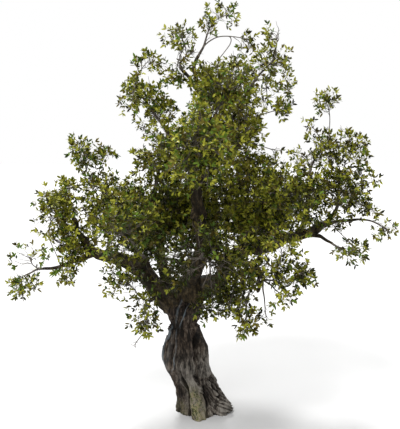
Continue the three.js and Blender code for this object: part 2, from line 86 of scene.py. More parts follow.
# Name, parent, where on the parent it starts, its tip, how far its middle bows, its two radii
LIMBS = [
    ("leader", "trunk", 0.9, (-20, 30, 3150), (110, 0, 0), 155, 88),
    ("right_bough", "trunk", 0.92, (870, 0, 2690), (30, -20, 60), 150, 96),
    ("left_bough", "trunk", 0.88, (-1730, -250, 2650), (-30, -40, 200), 165, 64),
    ("crook_bough", "trunk", 0.93, (-700, 170, 3620), (-210, 60, 0), 92, 36),
    ("leader_top", "leader", 0.97, (70, 0, 5120), (-70, 60, 0), 82, 34),
    ("right_limb", "right_bough", 0.97, (1830, 0, 2960), (0, 0, -50), 90, 60),
    ("left_riser", "left_bough", 0.97, (-1920, -180, 3120), (-60, 0, 0), 52, 34),
    ("left_arm", "left_bough", 0.93, (-2440, -300, 2370), (0, -30, -50), 36, 20),
    ("left_high_bough", "crook_bough", 0.42, (-1440, 180, 3420), (-60, 40, -80), 44, 28),
    ("left_inner_bough", "left_bough", 0.4, (-1080, -260, 2800), (40, -40, 0), 42, 26),
    ("lower_left_bough", "left_bough", 0.2, (-780, -800, 2010), (0, 20, -50), 32, 20),
    ("front_left_bough", "left_bough", 0.24, (-820, -760, 2640), (40, -40, 0), 46, 28),
    ("top_bough", "leader_top", 0.97, (-10, 0, 5640), (-110, 0, 0), 32, 22),
    ("top_left_bough", "leader_top", 0.94, (-300, 30, 5440), (-20, 0, 30), 27, 19),
    ("upper_left_bough", "leader_top", 0.28, (-560, -60, 4560), (20, 20, -20), 48, 28),
    ("upper_right_bough", "leader_top", 0.3, (700, -60, 4380), (40, 0, -50), 46, 27),
    ("top_right_bough", "leader_top", 0.55, (780, 240, 5150), (50, 0, -60), 40, 24),
    ("crown_bough", "leader_top", 0.62, (240, -330, 4740), (20, -40, 0), 34, 22),
    ("right_riser", "right_limb", 0.97, (2150, 20, 3260), (30, 0, -40), 50, 31),
    ("right_arm", "right_limb", 0.93, (2480, -80, 3110), (0, 0, 40), 32, 18),
    ("right_drop", "right_limb", 0.86, (2060, -240, 2740), (20, -10, 20), 32, 19),
    ("right_spire", "right_limb", 0.72, (1740, 120, 3820), (70, 0, 0), 40, 25),
    ("right_inner_bough", "right_limb", 0.12, (1150, -180, 3130), (0, -20, 0), 48, 29),
    ("lower_right_bough", "right_bough", 0.66, (900, -780, 2400), (0, -60, 90), 56, 33),
    ("hook_stub", "lower_right_bough", 0.8, (850, -650, 2080), (60, 0, 0), 27, 23),
    ("front_bough", "leader", 0.3, (40, -900, 2680), (0, -60, -60), 62, 34),
    ("front_top_bough", "leader", 0.86, (-120, -560, 3760), (0, -70, -30), 52, 30),
    ("back_bough", "leader", 0.35, (30, 980, 2860), (0, 40, -90), 62, 34),
    ("back_left_bough", "crook_bough", 0.34, (-980, 900, 2860), (0, 40, -60), 46, 28),
    ("back_right_bough", "right_bough", 0.72, (960, 900, 2980), (0, 30, -60), 50, 29),
    ("back_crown_bough", "leader_top", 0.5, (200, 420, 4830), (0, 40, -30), 38, 24),
    ("back_top_bough", "leader_top", 0.22, (120, 620, 4050), (0, 60, -40), 46, 28),
]
# Name after foliage_, the limb whose tip carries it, how thickly it grows, and its lobes: the
# centre and the half sizes across, deep and high
MASSES = [
    ("left_tip", "left_arm", 1.0, [
        (-2700, -340, 2260, 240, 280, 200), (-2610, -340, 2570, 280, 320, 190),
        (-2720, -380, 2110, 270, 320, 150)]),
    ("left", "left_riser", 1.0, [
        (-2110, -250, 3170, 500, 620, 500), (-2060, -420, 2300, 160, 240, 190),
        (-1900, -300, 2720, 320, 380, 230)]),
    ("left_high", "left_high_bough", 0.6, [
        (-1630, 220, 3580, 340, 440, 320), (-1840, 180, 4130, 320, 420, 290),
        (-1520, 220, 4100, 160, 240, 200), (-2080, -60, 3580, 230, 340, 220)]),
    ("left_inner", "left_inner_bough", 1.0, [
        (-1200, -240, 3190, 540, 600, 520), (-1700, -160, 3280, 280, 400, 320),
        (-800, -160, 2760, 330, 340, 290)]),
    ("mid_left", "crook_bough", 0.95, [
        (-620, 220, 4150, 430, 580, 600), (-970, 200, 4560, 160, 260, 150),
        (-520, 480, 3180, 400, 400, 480)]),
    ("upper_left", "upper_left_bough", 0.6, [
        (-940, -100, 5050, 440, 500, 330), (-790, -60, 5530, 190, 280, 200),
        (-620, 0, 4700, 280, 360, 230)]),
    ("top_left", "top_left_bough", 0.5, [
        (-120, 0, 5650, 220, 320, 200), (-300, 20, 5920, 280, 380, 200),
        (-370, -40, 5360, 320, 340, 210)]),
    ("top", "top_bough", 0.6, [
        (120, -40, 5980, 140, 260, 230), (350, -60, 6210, 250, 360, 210),
        (760, 0, 5850, 180, 320, 270),
        (230, -60, 5500, 200, 280, 130)]),
    ("top_right", "top_right_bough", 0.6, [
        (1090, 260, 5510, 350, 440, 320), (1190, 220, 5960, 180, 300, 200),
        (1400, 260, 5120, 130, 240, 160), (1040, 130, 5050, 200, 340, 220)]),
    ("crown", "crown_bough", 1.0, [(400, -420, 5140, 500, 560, 500)]),
    ("upper_right", "upper_right_bough", 1.0, [
        (690, 60, 4620, 350, 580, 500), (1300, 0, 4830, 220, 300, 160),
        (780, 250, 3770, 420, 460, 440),
        (1200, 100, 4180, 110, 200, 110)]),
    ("right_high", "right_spire", 0.65, [
        (1920, 100, 4150, 380, 500, 410), (1960, 100, 4940, 190, 260, 190),
        (1730, 100, 4580, 130, 200, 170),
        (1610, 60, 4080, 220, 320, 220)]),
    ("right", "right_riser", 1.0, [
        (2170, 0, 3530, 560, 640, 500), (2400, 40, 4190, 230, 320, 240), (2200, 60, 4510, 90, 180, 120),
        (2790, 20, 3690, 120, 200, 100),
        (2600, -20, 3290, 240, 300, 140)]),
    ("right_tip", "right_arm", 0.45, [(2880, -100, 2960, 200, 280, 190)]),
    ("right_low", "right_drop", 0.7, [
        (2320, -260, 2620, 350, 360, 180), (2030, -80, 3080, 280, 320, 220)]),
    ("right_inner", "right_inner_bough", 1.0, [
        (1330, -260, 3460, 660, 660, 580), (760, 150, 3090, 360, 420, 340),
        (940, -560, 2960, 400, 360, 220)]),
    ("lower_right", "lower_right_bough", 0.85, [
        (560, -1200, 2260, 450, 580, 420), (650, -1220, 1730, 150, 240, 150),
        (1160, -1160, 2190, 240, 360, 190),
        (940, -1160, 1850, 100, 200, 150), (1490, -1100, 2430, 230, 320, 180),
        (1150, -1050, 2820, 320, 400, 210), (1000, -950, 2560, 330, 380, 300)]),
    ("lower_left", "lower_left_bough", 0.65, [
        (-750, -1150, 1880, 250, 440, 360), (-930, -1200, 1460, 100, 200, 110),
        (-1120, -870, 2370, 330, 400, 280)]),
    ("front", "front_bough", 0.72, [
        (110, -1500, 2720, 680, 700, 540), (180, -780, 1900, 250, 300, 250)]),
    ("front_high", "front_top_bough", 1.0, [(-60, -980, 4270, 670, 660, 590)]),
    ("front_left", "front_left_bough", 0.95, [(-1060, -1150, 3020, 480, 580, 470)]),
    ("back", "back_bough", 0.9, [
        (90, 1620, 3310, 910, 740, 800), (-200, 760, 3100, 460, 400, 520)]),
    ("back_left", "back_left_bough", 0.85, [(-1240, 1320, 3170, 710, 680, 590)]),
    ("back_right", "back_right_bough", 0.85, [(1430, 1380, 3250, 770, 680, 620)]),
    ("back_crown", "back_crown_bough", 0.85, [(500, 780, 5030, 600, 520, 530)]),
    ("back_high", "back_top_bough", 0.9, [(270, 1060, 4430, 790, 660, 720)]),
]
GNARL = 0.5
LIMB_TAPER = 0.8
STEM_PAST_CENTRE = 0.15  # how far a stem runs past its first lobe's centre, as a share of the way
TWIG_TURN = 0.45  # how far ahead a twig's turning point lies, as a share of its length
TWIG_SLANT = 0.6
SPACE_MARGIN = 0.03  # how much further out than in its own lobe a twig's end is in any other

# Arrays, noise and meshes

HASH_WAY = np.array([127.1, 311.7, 74.7])
HASH_SEED = 53.7
HASH_SCALE = 43758.5453


def unit(v):
    """Each vector divided by its own length."""
    return v / np.maximum(np.linalg.norm(v, axis=-1, keepdims=True), 1e-9)


def seeded(seed, k):
    """The fractional part of 43758.5453 sin(12.9898 seed + 78.233 k), as in the solids' rule."""
    return (np.sin(seed * 12.9898 + k * 78.233) * HASH_SCALE) % 1.0


def noise(points, cell, seed=0):
    """Smooth noise from 0 to 1: seeded values at the corners of cells of the given size, blended
    by 3f^2 - 2f^3 along each axis."""
    p = points / np.asarray(cell, float)
    low = np.floor(p)
    f = p - low
    f = f * f * (3 - 2 * f)
    total = 0.0
    for corner in itertools.product((0, 1), repeat=3):
        at = low + corner
        value = np.sin(at @ HASH_WAY + HASH_SEED * seed) * HASH_SCALE
        total = total + np.prod(np.where(corner, f, 1 - f), axis=-1) * (value % 1.0)
    return total


def ridged(points, cell, seed=0):
    """Noise folded at its middle, 1 - |2n - 1|, so that it has sharp crests at 1."""
    return 1 - np.abs(2 * noise(points, cell, seed) - 1)


def bell(x, width):
    """exp(-(x / width)^2)."""
    return np.exp(-((x / width) ** 2))


def step(x, low, high):
    """0 below low, 1 above high and 3t^2 - 2t^3 between."""
    t = np.clip((x - low) / (high - low), 0, 1)
    return t * t * (3 - 2 * t)


def by_place(points, places, power):
    """The sum of amount * exp(-far^power) over places given as (amount, centre, half sizes), where
    far is 1 on a place's outline."""
    total = np.zeros(points.shape[:-1])
    for amount, centre, size in places:
        far = np.linalg.norm((points - np.array(centre)) / np.array(size), axis=-1)
        total += amount * np.exp(-(far**power))
    return total


def stacked(rows):
    """Rows of arrays, (a1, b1), (a2, b2) and so on, as one row (a1 a2, b1 b2)."""
    return tuple(np.concatenate(column) for column in zip(*rows))


def placed(name, data):
    """A new object in the scene, at the origin."""
    made = bpy.data.objects.new(name, data)
    bpy.context.scene.collection.objects.link(made)
    return made


def piece(name, vertices, faces, material, slot, nodes, smooth=True, **fields):
    """A mesh from arrays: vertices (n, 3), faces as blocks of 3 or 4 corners, and float fields."""
    mesh = bpy.data.meshes.new(name)
    vertices = np.asarray(vertices, np.float32).reshape(-1, 3)
    mesh.vertices.add(len(vertices))
    mesh.vertices.foreach_set("co", vertices.ravel())
    corners = np.concatenate([f.reshape(-1) for f in faces]).astype(np.int32)
    sizes = np.concatenate([np.full(len(f), f.shape[-1]) for f in faces])
    mesh.loops.add(len(corners))
    mesh.loops.foreach_set("vertex_index", corners)
    mesh.polygons.add(len(sizes))
    starts = np.concatenate([[0], np.cumsum(sizes)[:-1]]).astype(np.int32)
    mesh.polygons.foreach_set("loop_start", starts)
    mesh.update(calc_edges=True)
    mesh.validate()
    mesh.polygons.foreach_set("use_smooth", np.full(len(sizes), smooth))
    for field, values in fields.items():
        mesh.attributes.new(field, "FLOAT", "POINT").data.foreach_set(
            "value", np.asarray(values, np.float32).ravel())
    mesh.materials.append(material)
    made = placed(name, mesh)
    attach(made, "root")
    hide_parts(*nodes)


def grid_faces(rings, sides):
    """The quads of a closed strip of rings, facing out, and the fans that close its two ends onto
    the two vertices after the grid."""
    i, j = np.meshgrid(np.arange(rings - 1), np.arange(sides), indexing="ij")
    k = (j + 1) % sides
    quads = np.stack([i * sides + j, i * sides + k, (i + 1) * sides + k, (i + 1) * sides + j], -1)
    j = np.arange(sides)
    k = (j + 1) % sides
    first, last = rings * sides, (rings - 1) * sides
    low = np.stack([np.full(sides, first), k, j], -1)
    high = np.stack([np.full(sides, first + 1), last + j, last + k], -1)
    return quads.reshape(-1, 4), np.concatenate([low, high])


def around(turn, across, over):
    """cos(turn) across + sin(turn) over."""
    return np.cos(turn)[..., None] * across + np.sin(turn)[..., None] * over


def frames(points):
    """Along each row of points: the way ahead, and two directions square to it and to each other,
    from the axis that the row runs least along."""
    ahead = unit(np.gradient(points, axis=-2))
    least = np.argmin(np.abs(points[..., -1, :] - points[..., 0, :]), axis=-1)
    across = unit(np.cross(np.eye(3)[least][..., None, :], ahead))
    return ahead, across, np.cross(ahead, across)


def tubes(points, radii, sides):
    """Rods along rows of points (n, rings, 3): each ring is point + radius (cos across + sin over),
    and each end closes in a point half a radius further on."""
    n, rings = radii.shape
    ahead, across, over = frames(points)
    turn = 2 * np.pi * np.arange(sides) / sides
    out = around(turn, across[:, :, None], over[:, :, None])
    ring = points[:, :, None] + radii[:, :, None, None] * out
    low = points[:, :1] - ahead[:, :1] * radii[:, :1, None] / 2
    high = points[:, -1:] + ahead[:, -1:] * radii[:, -1:, None] / 2
    vertices = np.concatenate([ring.reshape(n, -1, 3), low, high], axis=1)
    shift = (np.arange(n) * vertices.shape[1])[:, None, None]
    faces = [(f[None] + shift).reshape(-1, f.shape[-1]) for f in grid_faces(rings, sides)]
    return vertices.reshape(-1, 3), faces


def joined(parts):
    """Several (vertices, faces) as one."""
    shift, vertices, faces = 0, [], []
    for v, blocks in parts:
        vertices.append(v)
        faces += [f + shift for f in blocks]
        shift += len(v)
    return np.concatenate(vertices), faces


# Finishes


class Value:
    """One output of a node. Arithmetic on it adds Math nodes."""

    def __init__(self, finish, output):
        self.finish, self.output = finish, output

    def math(self, operation, *others):
        return self.finish.node("ShaderNodeMath", {"operation": operation}, dict(enumerate(others)))

    def __add__(self, other):
        return self.math("ADD", self, other)

    def __sub__(self, other):
        return self.math("SUBTRACT", self, other)

    def __mul__(self, other):
        return self.math("MULTIPLY", self, other)

    def clamped(self):
        return self.math("MINIMUM", self.math("MAXIMUM", self, 0.0), 1.0)


class Finish:
    """A material's nodes, with one Principled shader."""

    def __init__(self, name, **constants):
        self.material = bpy.data.materials.new(name)
        self.material.use_nodes = True
        self.tree = self.material.node_tree
        self.shader = self.tree.nodes["Principled BSDF"]
        for socket, value in constants.items():
            self.shader.inputs[socket.replace("_", " ")].default_value = value

    def node(self, kind, settings, sockets, output=0):
        """Any node: its type, its settings, then its sockets' values or links."""
        made = self.tree.nodes.new(kind)
        for key, value in settings.items():
            if key == "stops":
                ramp = made.color_ramp
                for at, colour in value[2:]:
                    ramp.elements.new(at)
                for element, (at, colour) in zip(ramp.elements, value):
                    element.position = at
                    element.color = (*colour, 1)
            else:
                setattr(made, key, value)
        for key, value in sockets.items():
            self.feed(made.inputs[key], value)
        return Value(self, made.outputs[output])

    def feed(self, socket, value):
        if isinstance(value, Value):
            self.tree.links.new(value.output, socket)
        else:
            socket.default_value = value

    def grain(self, scale, detail, roughness, stretch=(1, 1, 1)):
        """Noise in object coordinates, stretched by a Mapping node."""
        at = self.node("ShaderNodeTexCoord", {}, {}, "Object")
        at = self.node("ShaderNodeMapping", {}, {"Vector": at, "Scale": stretch})
        return self.node("ShaderNodeTexNoise", {}, {
            "Vector": at, "Scale": scale, "Detail": detail, "Roughness": roughness}, "Fac")

    def field(self, name):
        return self.node("ShaderNodeAttribute", {"attribute_name": name}, {}, "Fac")

    def ramp(self, factor, *stops):
        return self.node("ShaderNodeValToRGB", {"stops": stops}, {"Fac": factor}, "Color")

    def mix(self, factor, under, over):
        """The colour under where the factor is 0 and the colour over where it is 1."""
        over = over if isinstance(over, Value) else (*over, 1)
        return self.node("ShaderNodeMix", {"data_type": "RGBA"}, {0: factor, 6: under, 7: over}, 2)

    def bump(self, height, strength, distance):
        return self.node("ShaderNodeBump", {}, {
            "Height": height, "Strength": strength, "Distance": distance}, "Normal")

    def shade(self, **sockets):
        for socket, value in sockets.items():
            self.feed(self.shader.inputs[socket.replace("_", " ")], value)
        return self.material


# Where the bark's grain is darkest, in the middle and palest, and its colours where it is worn
FURROW, FACE, CREST = 0.43, 0.52, 0.61
WORN_TONES = ((0.43, (0.01, 0.009, 0.0075)), (0.62, (0.235, 0.226, 0.202)))
MOSS_TONES = ((0.42, (0.016, 0.016, 0.01)), (0.47, (0.09, 0.105, 0.022)),
              (0.51, (0.29, 0.265, 0.165)), (0.55, (0.115, 0.068, 0.034)), (0.6, (0.25, 0.24, 0.17)))
# Pale blue: on the trunk partly the cords' own grey-blue bark and partly a painted highlight of sky light,
# on the boughs a painted highlight on the tops of the ridges
CORD_BLUE_AND_HIGHLIGHT = (0.2, 0.245, 0.275)
# Painted shade: nearly black in the hollows and where the bark is sunk
HOLLOW_SHADE = (0.007, 0.0055, 0.0045)
BARK_BUMP = (0.9, 0.016)
TWIG_TONES = ((0.35, (0.04, 0.032, 0.025)), (0.65, (0.17, 0.147, 0.124)))


def bark_finish(name, dark, mid, light, stretch):
    """Grey-brown bark: long grain from dark furrows to pale crests, worn greyer and lighter where
    the field "worn" says so, pale and blue in "pale", partly the bark's own pale strands and partly a
    painted highlight, nearly black in "hollow" as painted shade, green and ochre in "moss"."""
    bark = Finish(name, Specular_IOR_Level=0.2)
    grain = bark.grain(19, 8, 0.72, stretch)
    patches = bark.grain(3.5, 3, 0.5)
    fine = bark.grain(48, 4, 0.7, stretch)
    tone = grain * 0.7 + fine * 0.3 + (patches - 0.5) * 0.3 + (bark.field("worn") - 0.35) * 0.1
    colour = bark.ramp(tone.clamped(), (FURROW, dark), (FACE, mid), (CREST, light))
    greys = bark.ramp(tone.clamped(), *WORN_TONES)
    colour = bark.mix((bark.field("worn") * (patches * 0.5 + 0.42)).clamped(), colour, greys)
    # Pale blue where the field pale says so: partly the cords' own colour, partly a painted highlight
    colour = bark.mix((bark.field("pale") * (fine * 1.1 + 0.2)).clamped(), colour, CORD_BLUE_AND_HIGHLIGHT)
    moss_tone = bark.ramp(bark.grain(20, 7, 0.8), *MOSS_TONES)
    moss = (bark.field("moss") * (bark.grain(9, 5, 0.6) * 3.4 - 0.9)).clamped()
    colour = bark.mix(moss, colour, moss_tone)
    # Painted shade: the hollows and the sunk bark darkened nearly to black
    colour = bark.mix((bark.field("hollow") * 0.9).clamped(), colour, HOLLOW_SHADE)
    height = grain * 0.6 + fine * 0.4
    return bark.shade(Base_Color=colour, Roughness=fine * 0.2 + 0.8,
                      Normal=bark.bump(height, *BARK_BUMP))


def twig_finish():
    """Smooth grey-brown young bark, a little paler in patches."""
    twig = Finish("twig_bark", Specular_IOR_Level=0.3)
    patches = twig.grain(14, 4, 0.6)
    return twig.shade(Base_Color=twig.ramp(patches, *TWIG_TONES), Roughness=patches * 0.2 + 0.7)


def leaf_finish(name, colour):
    """A plain leaf colour with a soft sheen."""
    return Finish(name, Base_Color=(*colour, 1), Roughness=0.42, Specular_IOR_Level=0.1).material


TRUNK_FINISH = bark_finish(
    "trunk_bark", (0.007, 0.0052, 0.0038), (0.05, 0.036, 0.026), (0.165, 0.135, 0.108), (1, 1, 0.2))
BOUGH_FINISH = bark_finish(
    "bough_bark", (0.013, 0.0095, 0.005), (0.053, 0.038, 0.0185), (0.128, 0.099, 0.06), (1, 1, 0.5))
TWIG_FINISH = twig_finish()

# Leaf colours: the first six run from the darkest sprays to the yellowest, then greener and
# browner ones, each dark and light. The darker tones serve partly as painted shade and the lighter
# partly as painted light, since sprays are dealt them by their place in the crown as well as at random.
LEAF_TONES = [
    ("leaf_deep", (0.016, 0.018, 0.002)),
    ("leaf_dark", (0.042, 0.046, 0.005)),
    ("leaf_green", (0.097, 0.105, 0.009)),
    ("leaf_olive", (0.153, 0.161, 0.014)),
    ("leaf_bright", (0.218, 0.225, 0.021)),
    ("leaf_yellow", (0.278, 0.28, 0.032)),
    ("leaf_fresh_dark", (0.036, 0.062, 0.008)),
    ("leaf_fresh", (0.098, 0.158, 0.018)),
    ("leaf_russet_dark", (0.05, 0.041, 0.007)),
    ("leaf_russet", (0.128, 0.106, 0.017)),
]
OLIVE_TONES = 6
FRESH_TONES = np.array([6, 7])
RUSSET_TONES = np.array([8, 9])
# The dark and light copies of the greener and browner colours follow the olive tone, and so carry its
# painted shade and light
LIGHT_FROM = 3  # olive tones from here on give way to the lighter of the two
FRESH_SHARE = (0.06, 0.24)  # how many sprays are greener outside the patches and in them
FRESH_CELL = 0.8
FRESH_EDGE = (0.35, 0.75)  # the noise values between which a patch comes in
RUSSET_SHARE = 0.16
USUAL_TONE = 2.6
# Painted shade and light: sprays deep in a lobe are dealt darker tones and those at its outline lighter
# ones
OUTER_TONE = 1.5  # how many tones lighter sprays get from a lobe's centre to its outline
OUTNESS_MEAN = 0.75
PATCH_TONE = 1.6
PATCH_CELL = 0.45
# Painted light from above: sprays are dealt lighter tones the higher they grow in the crown
RISE_TONE = 0.6
CROWN_FOOT, CROWN_HEIGHT = 1.5, 5
TONE_SPREAD = 2.1
# Painted shade and light: where sprays are dealt darker colours (below 0) or lighter ones (above 0): how
# many tones, the centre, the half sizes
SHADE_AND_LIGHT_PLACES = [
    (-5.2, (-0.15, -1.2, 2.55), (0.74, 1.6, 0.78)),
    (1.4, (0.3, -0.5, 4.5), (1.1, 1.5, 0.9)),
    (0.8, (-1.8, -0.3, 3.3), (0.8, 1, 0.9)),
    (0.7, (0.9, -1.1, 2.1), (0.6, 0.8, 0.5)),
    (-1.3, (2.2, 0, 3.5), (0.8, 1.2, 0.9)),
]

# Trunk

TRUNK_SIDES = 400
TRUNK_RINGS = 232
DOME_RINGS = 10
# Strands of the stem: heights and the headings there, half width in degrees, how far they stand
# out, and how pale and blue they are, partly their own pale bark and partly a painted highlight
STRANDS = [
    ((0.55, 0.8, 1, 1.24, 1.44), (-168, -172, -176, -156, -147), 6, 0.03, 0.65),
    ((0.63, 0.84, 1.05, 1.23, 1.39), (-139, -122, -116, -121, -117), 2.8, 0.026, 0.7),
    ((0.4, 0.74, 0.95, 1.14, 1.32), (-160, -152, -146, -140, -133), 8, 0.016, 0.15),
    ((0.45, 0.7, 0.95, 1.2, 1.5), (-94, -98, -92, -92, -98), 24, 0.034, 0),
    ((0.55, 0.75, 0.95, 1.15, 1.4), (-86, -82, -76, -68, -64), 17, 0.028, 0),
    ((0.62, 0.8, 1, 1.17, 1.4), (-26, -20, -11, -6, -4), 13, 0.046, 0.1),
    ((0.62, 0.8, 0.95, 1.1), (-56, -50, -44, -36), 6, 0.022, 0),
    ((0.6, 0.72, 0.86, 1), (-48, -42, -35, -30), 5, 0.024, 0),
    ((0, 0.35, 0.54, 0.7), (-158, -146, -136, -136), 17, 0.032, 0),
    ((0, 0.2, 0.36, 0.5, 0.66), (-134, -128, -124, -122, -116), 9, 0.026, 0.05),
    ((0, 0.29, 0.45, 0.62), (-99, -96, -93, -84), 15, 0.04, 0),
    ((1.36, 1.58, 1.72, 1.84), (-101, -91, -84, -60), 2.6, 0.024, 0.7),
    ((1.42, 1.55, 1.7, 1.84), (-118, -112, -108, -100), 5, 0.02, 0.35),
    ((1.42, 1.55, 1.7, 1.84), (-72, -66, -56, -40), 14, 0.026, 0),
    ((1.42, 1.55, 1.7, 1.84), (-146, -140, -134, -128), 12, 0.026, 0),
    ((1.42, 1.55, 1.7, 1.84), (-30, -20, -14, -8), 15, 0.026, 0),
    ((0, 0.6, 1.2, 1.4, 1.6, 1.84), (172, 170, 176, -174, 176, 168), 12, 0.03, 0),
    ((0, 0.6, 1.1, 1.5, 1.84), (148, 140, 148, 150, 142), 11, 0.036, 0.2),
    ((0, 0.7, 1.1, 1.5, 1.84), (120, 128, 124, 118, 116), 10, 0.03, 0),
    ((0, 0.6, 1.1, 1.45, 1.84), (92, 84, 92, 84, 88), 13, 0.038, 0),
    ((0, 0.7, 1.2, 1.5, 1.84), (66, 64, 62, 72, 66), 6, 0.028, 0.75),
    ((0, 0.6, 1.05, 1.45, 1.84), (44, 40, 32, 40, 44), 15, 0.036, 0),
    ((0, 0.6, 1.1, 1.45, 1.84), (20, 12, 14, 20, 18), 11, 0.03, 0),
]
# Deep hollows: name, heading, height, half width in degrees, half height, depth, lean in degrees a metre
HOLLOWS = [
    ("shell cavity", -33, 1.1, 9, 0.22, 0.15, 95),
    ("slit", -110, 0.46, 5.5, 0.14, 0.16, 5),
    ("left eye", -134, 1.02, 5.5, 0.12, 0.09, 8),
    ("left of the root", -116, 0.13, 4, 0.17, 0.06, 10),
    ("knot hole", -37, 1.56, 6, 0.05, 0.06, 0),
    ("ledge gap", -70, 0.6, 7, 0.05, 0.06, 0),
    ("root gap", -68, 0.22, 4, 0.2, 0.08, 60),
    ("back cleft", 106, 0.62, 7, 0.36, 0.13, 18),
    ("back shell", 52, 1.12, 6, 0.22, 0.1, -12),
    ("left gap", 160, 0.3, 5, 0.2, 0.07, 20),
    ("back knot", 133, 1.38, 7, 0.06, 0.06, 0),
]
WANDER = ((9, (0.1, 0.1, 0.16), 1), (4, (0.04, 0.04, 0.06), 2))
SKIN_DEPTH = 0.016  # how far the bark lies in from the solid's skin before relief is added
STRAND_FOOT = 0.01
# Furrows: which noise, how strong everywhere and over the roots, its cells across and along, seed
FURROWS = [
    (ridged, 0.028, 0, 0.045, 0.3, 4),
    (ridged, 0.015, 0, 0.022, 0.12, 5),
    (noise, 0, 0.036, 0.09, 0.11, 8),
    (ridged, 0, 0.016, 0.035, 0.05, 9),
    (noise, 0.004, 0, 0.011, 0.03, 10),
]
ROOTS_TOP = (0.3, 0.62)  # the heights between which the roots' furrows fade out
# The root mass on the right: heading and half width in degrees, and where it fades out
ROOT_MASS, ROOT_MASS_TOP = (-32, 33), (0.5, 0.58)
RIDGE_PITCH = 0.062
RIDGE_SLANT = (0.36, 0.46)  # how fast the ridges follow each other round the trunk and up it
LEDGE = (-30, 26)
WRINKLES = (-42, 17)
WAIST = 1.385
# Moss: how much, its heading and half width in degrees, and the heights between which it fades out
MOSS = [(1, -97, 17, 0.34, 0.6), (0.35, -150, 40, 0.1, 0.3), (0.45, 100, 50, 0.2, 0.5)]
WORN_TOP = (0.75, 1.15)
DARK_SIDE = (-152, 36)


def station(column, z):
    """The trunk's axis or radius at height z: a cubic through the stations with centred slopes."""
    s = TRUNK_STATIONS
    i = np.clip(np.searchsorted(s[:, 0], z, side="right") - 1, 0, len(s) - 2)
    before, after = np.maximum(i - 1, 0), np.minimum(i + 2, len(s) - 1)
    span = s[i + 1, 0] - s[i, 0]
    t = np.minimum(1, (z - s[i, 0]) / span)
    p1, p2 = s[i, column], s[i + 1, column]
    m1 = (p2 - s[before, column]) / (s[i + 1, 0] - s[before, 0]) * span
    m2 = (s[after, column] - p1) / (s[after, 0] - s[i, 0]) * span
    return ((2 * t**3 - 3 * t**2 + 1) * p1 + (t**3 - 2 * t**2 + t) * m1
            + (3 * t**2 - 2 * t**3) * p2 + (t**3 - t**2) * m2)


def trunk_axis(z):
    return np.stack([station(1, z), station(2, z), z], axis=-1)


def apart(heading, at):
    """The angle from one heading to another, from -180 to 180 degrees."""
    return (heading - at + 180) % 360 - 180


def near(heading, at, width):
    """A bell round the trunk: 1 at a heading, fading over a half width in degrees."""
    return bell(apart(heading, at), width)


def trunk_radius(heading, z):
    """The mean radius plus a bell across the heading and over the height for each rib."""
    r = station(3, z)
    for _, at, out, width, height, fade in TRUNK_RIBS:
        r = r + out * MM * near(heading, at, width) * bell(z - height * MM, fade * MM)
    return r


def strands(heading, z, flow):
    """Round strands that run up the stem, sqrt(1 - (off / width)^2) high, with furrows between
    them, and how pale they are: partly their own pale bark, partly a painted highlight of sky light."""
    relief = np.full_like(z, -SKIN_DEPTH)
    pale = np.zeros_like(z)
    broken = step(noise(flow, (0.06, 0.06, 0.1), 3), 0.35, 0.6)
    for heights, headings, width, out, tint in STRANDS:
        at, low, high = np.interp(z, heights, headings), heights[0], heights[-1]
        swell = 0.75 + 0.5 * noise(flow, (0.5, 0.5, 0.17), width)
        ends = step(z, low - 0.05, low + 0.1) if low > 0 else 1
        if high < TRUNK_HEIGHT:
            ends = ends * (1 - step(z, high - 0.08, high + 0.04))
        off = apart(heading, at) / (width * (0.6 + 0.4 * ends) * swell)
        strand = np.sqrt(np.clip(1 - off**2, 0, 1)) * ends
        relief = np.maximum(relief, out * swell * strand - STRAND_FOOT)
        # Pale: partly the strands' own bark, partly a painted highlight on them
        pale = np.maximum(pale, tint * strand**2 * (0.3 + 0.7 * broken))
    return relief, pale


def root_mass(heading, z, flow):
    """The root mass on the right: slanting ridges under a ledge, and wrinkles over it."""
    mass = near(heading, *ROOT_MASS) * (1 - step(z, *ROOT_MASS_TOP))
    slant = np.radians(apart(heading, -34)) * RIDGE_SLANT[0] + RIDGE_SLANT[1] * z
    slant = slant + 0.15 * noise(flow, 0.15, 7) + 0.05 * noise(flow, 0.05, 15)
    ridge = np.abs(np.sin(np.pi * slant / RIDGE_PITCH)) * (0.35 + 1.3 * noise(flow, 0.09, 16))
    relief = 0.06 * ridge - 0.04
    relief += 0.075 * (noise(flow, (0.11, 0.11, 0.1), 17) - 0.5)
    relief -= 0.05 * step(noise(flow, (0.05, 0.05, 0.07), 18), 0.66, 0.8)
    relief += 0.03 * (ridged(flow, (0.05, 0.05, 0.1), 6) - 0.5)
    ledge = 0.038 * bell(z - 0.625, 0.035) - 0.03 * bell(z - 0.545, 0.022)
    wrinkles = bell(z - 0.8, 0.16) * 0.045 * (ridged(flow, (0.045, 0.045, 0.11), 14) - 0.5)
    return mass * relief + near(heading, *LEDGE) * ledge + near(heading, *WRINKLES) * wrinkles


def furrows(z, flow):
    """Long furrows, finer and finer, and lumps over the roots."""
    roots = 1 - step(z, *ROOTS_TOP)
    return sum((everywhere + rooted * roots) * (kind(flow, (across, across, along), seed) - 0.5)
               for kind, everywhere, rooted, across, along, seed in FURROWS)


def waist_lips(heading, z, flow):
    """The lips at the sides, where the upper stem goes into the lower one like a plug."""
    waist = WAIST + 0.035 * np.cos(np.radians(heading + 40)) + 0.03 * (noise(flow, 0.1, 11) - 0.5)
    sides = np.abs(np.cos(np.radians(heading))) ** 2.5 * (1 - 0.6 * bell(heading, 60))
    return (0.12 + sides) * (0.034 * bell(z - waist + 0.035, 0.03) - 0.02 * bell(z - waist, 0.018))


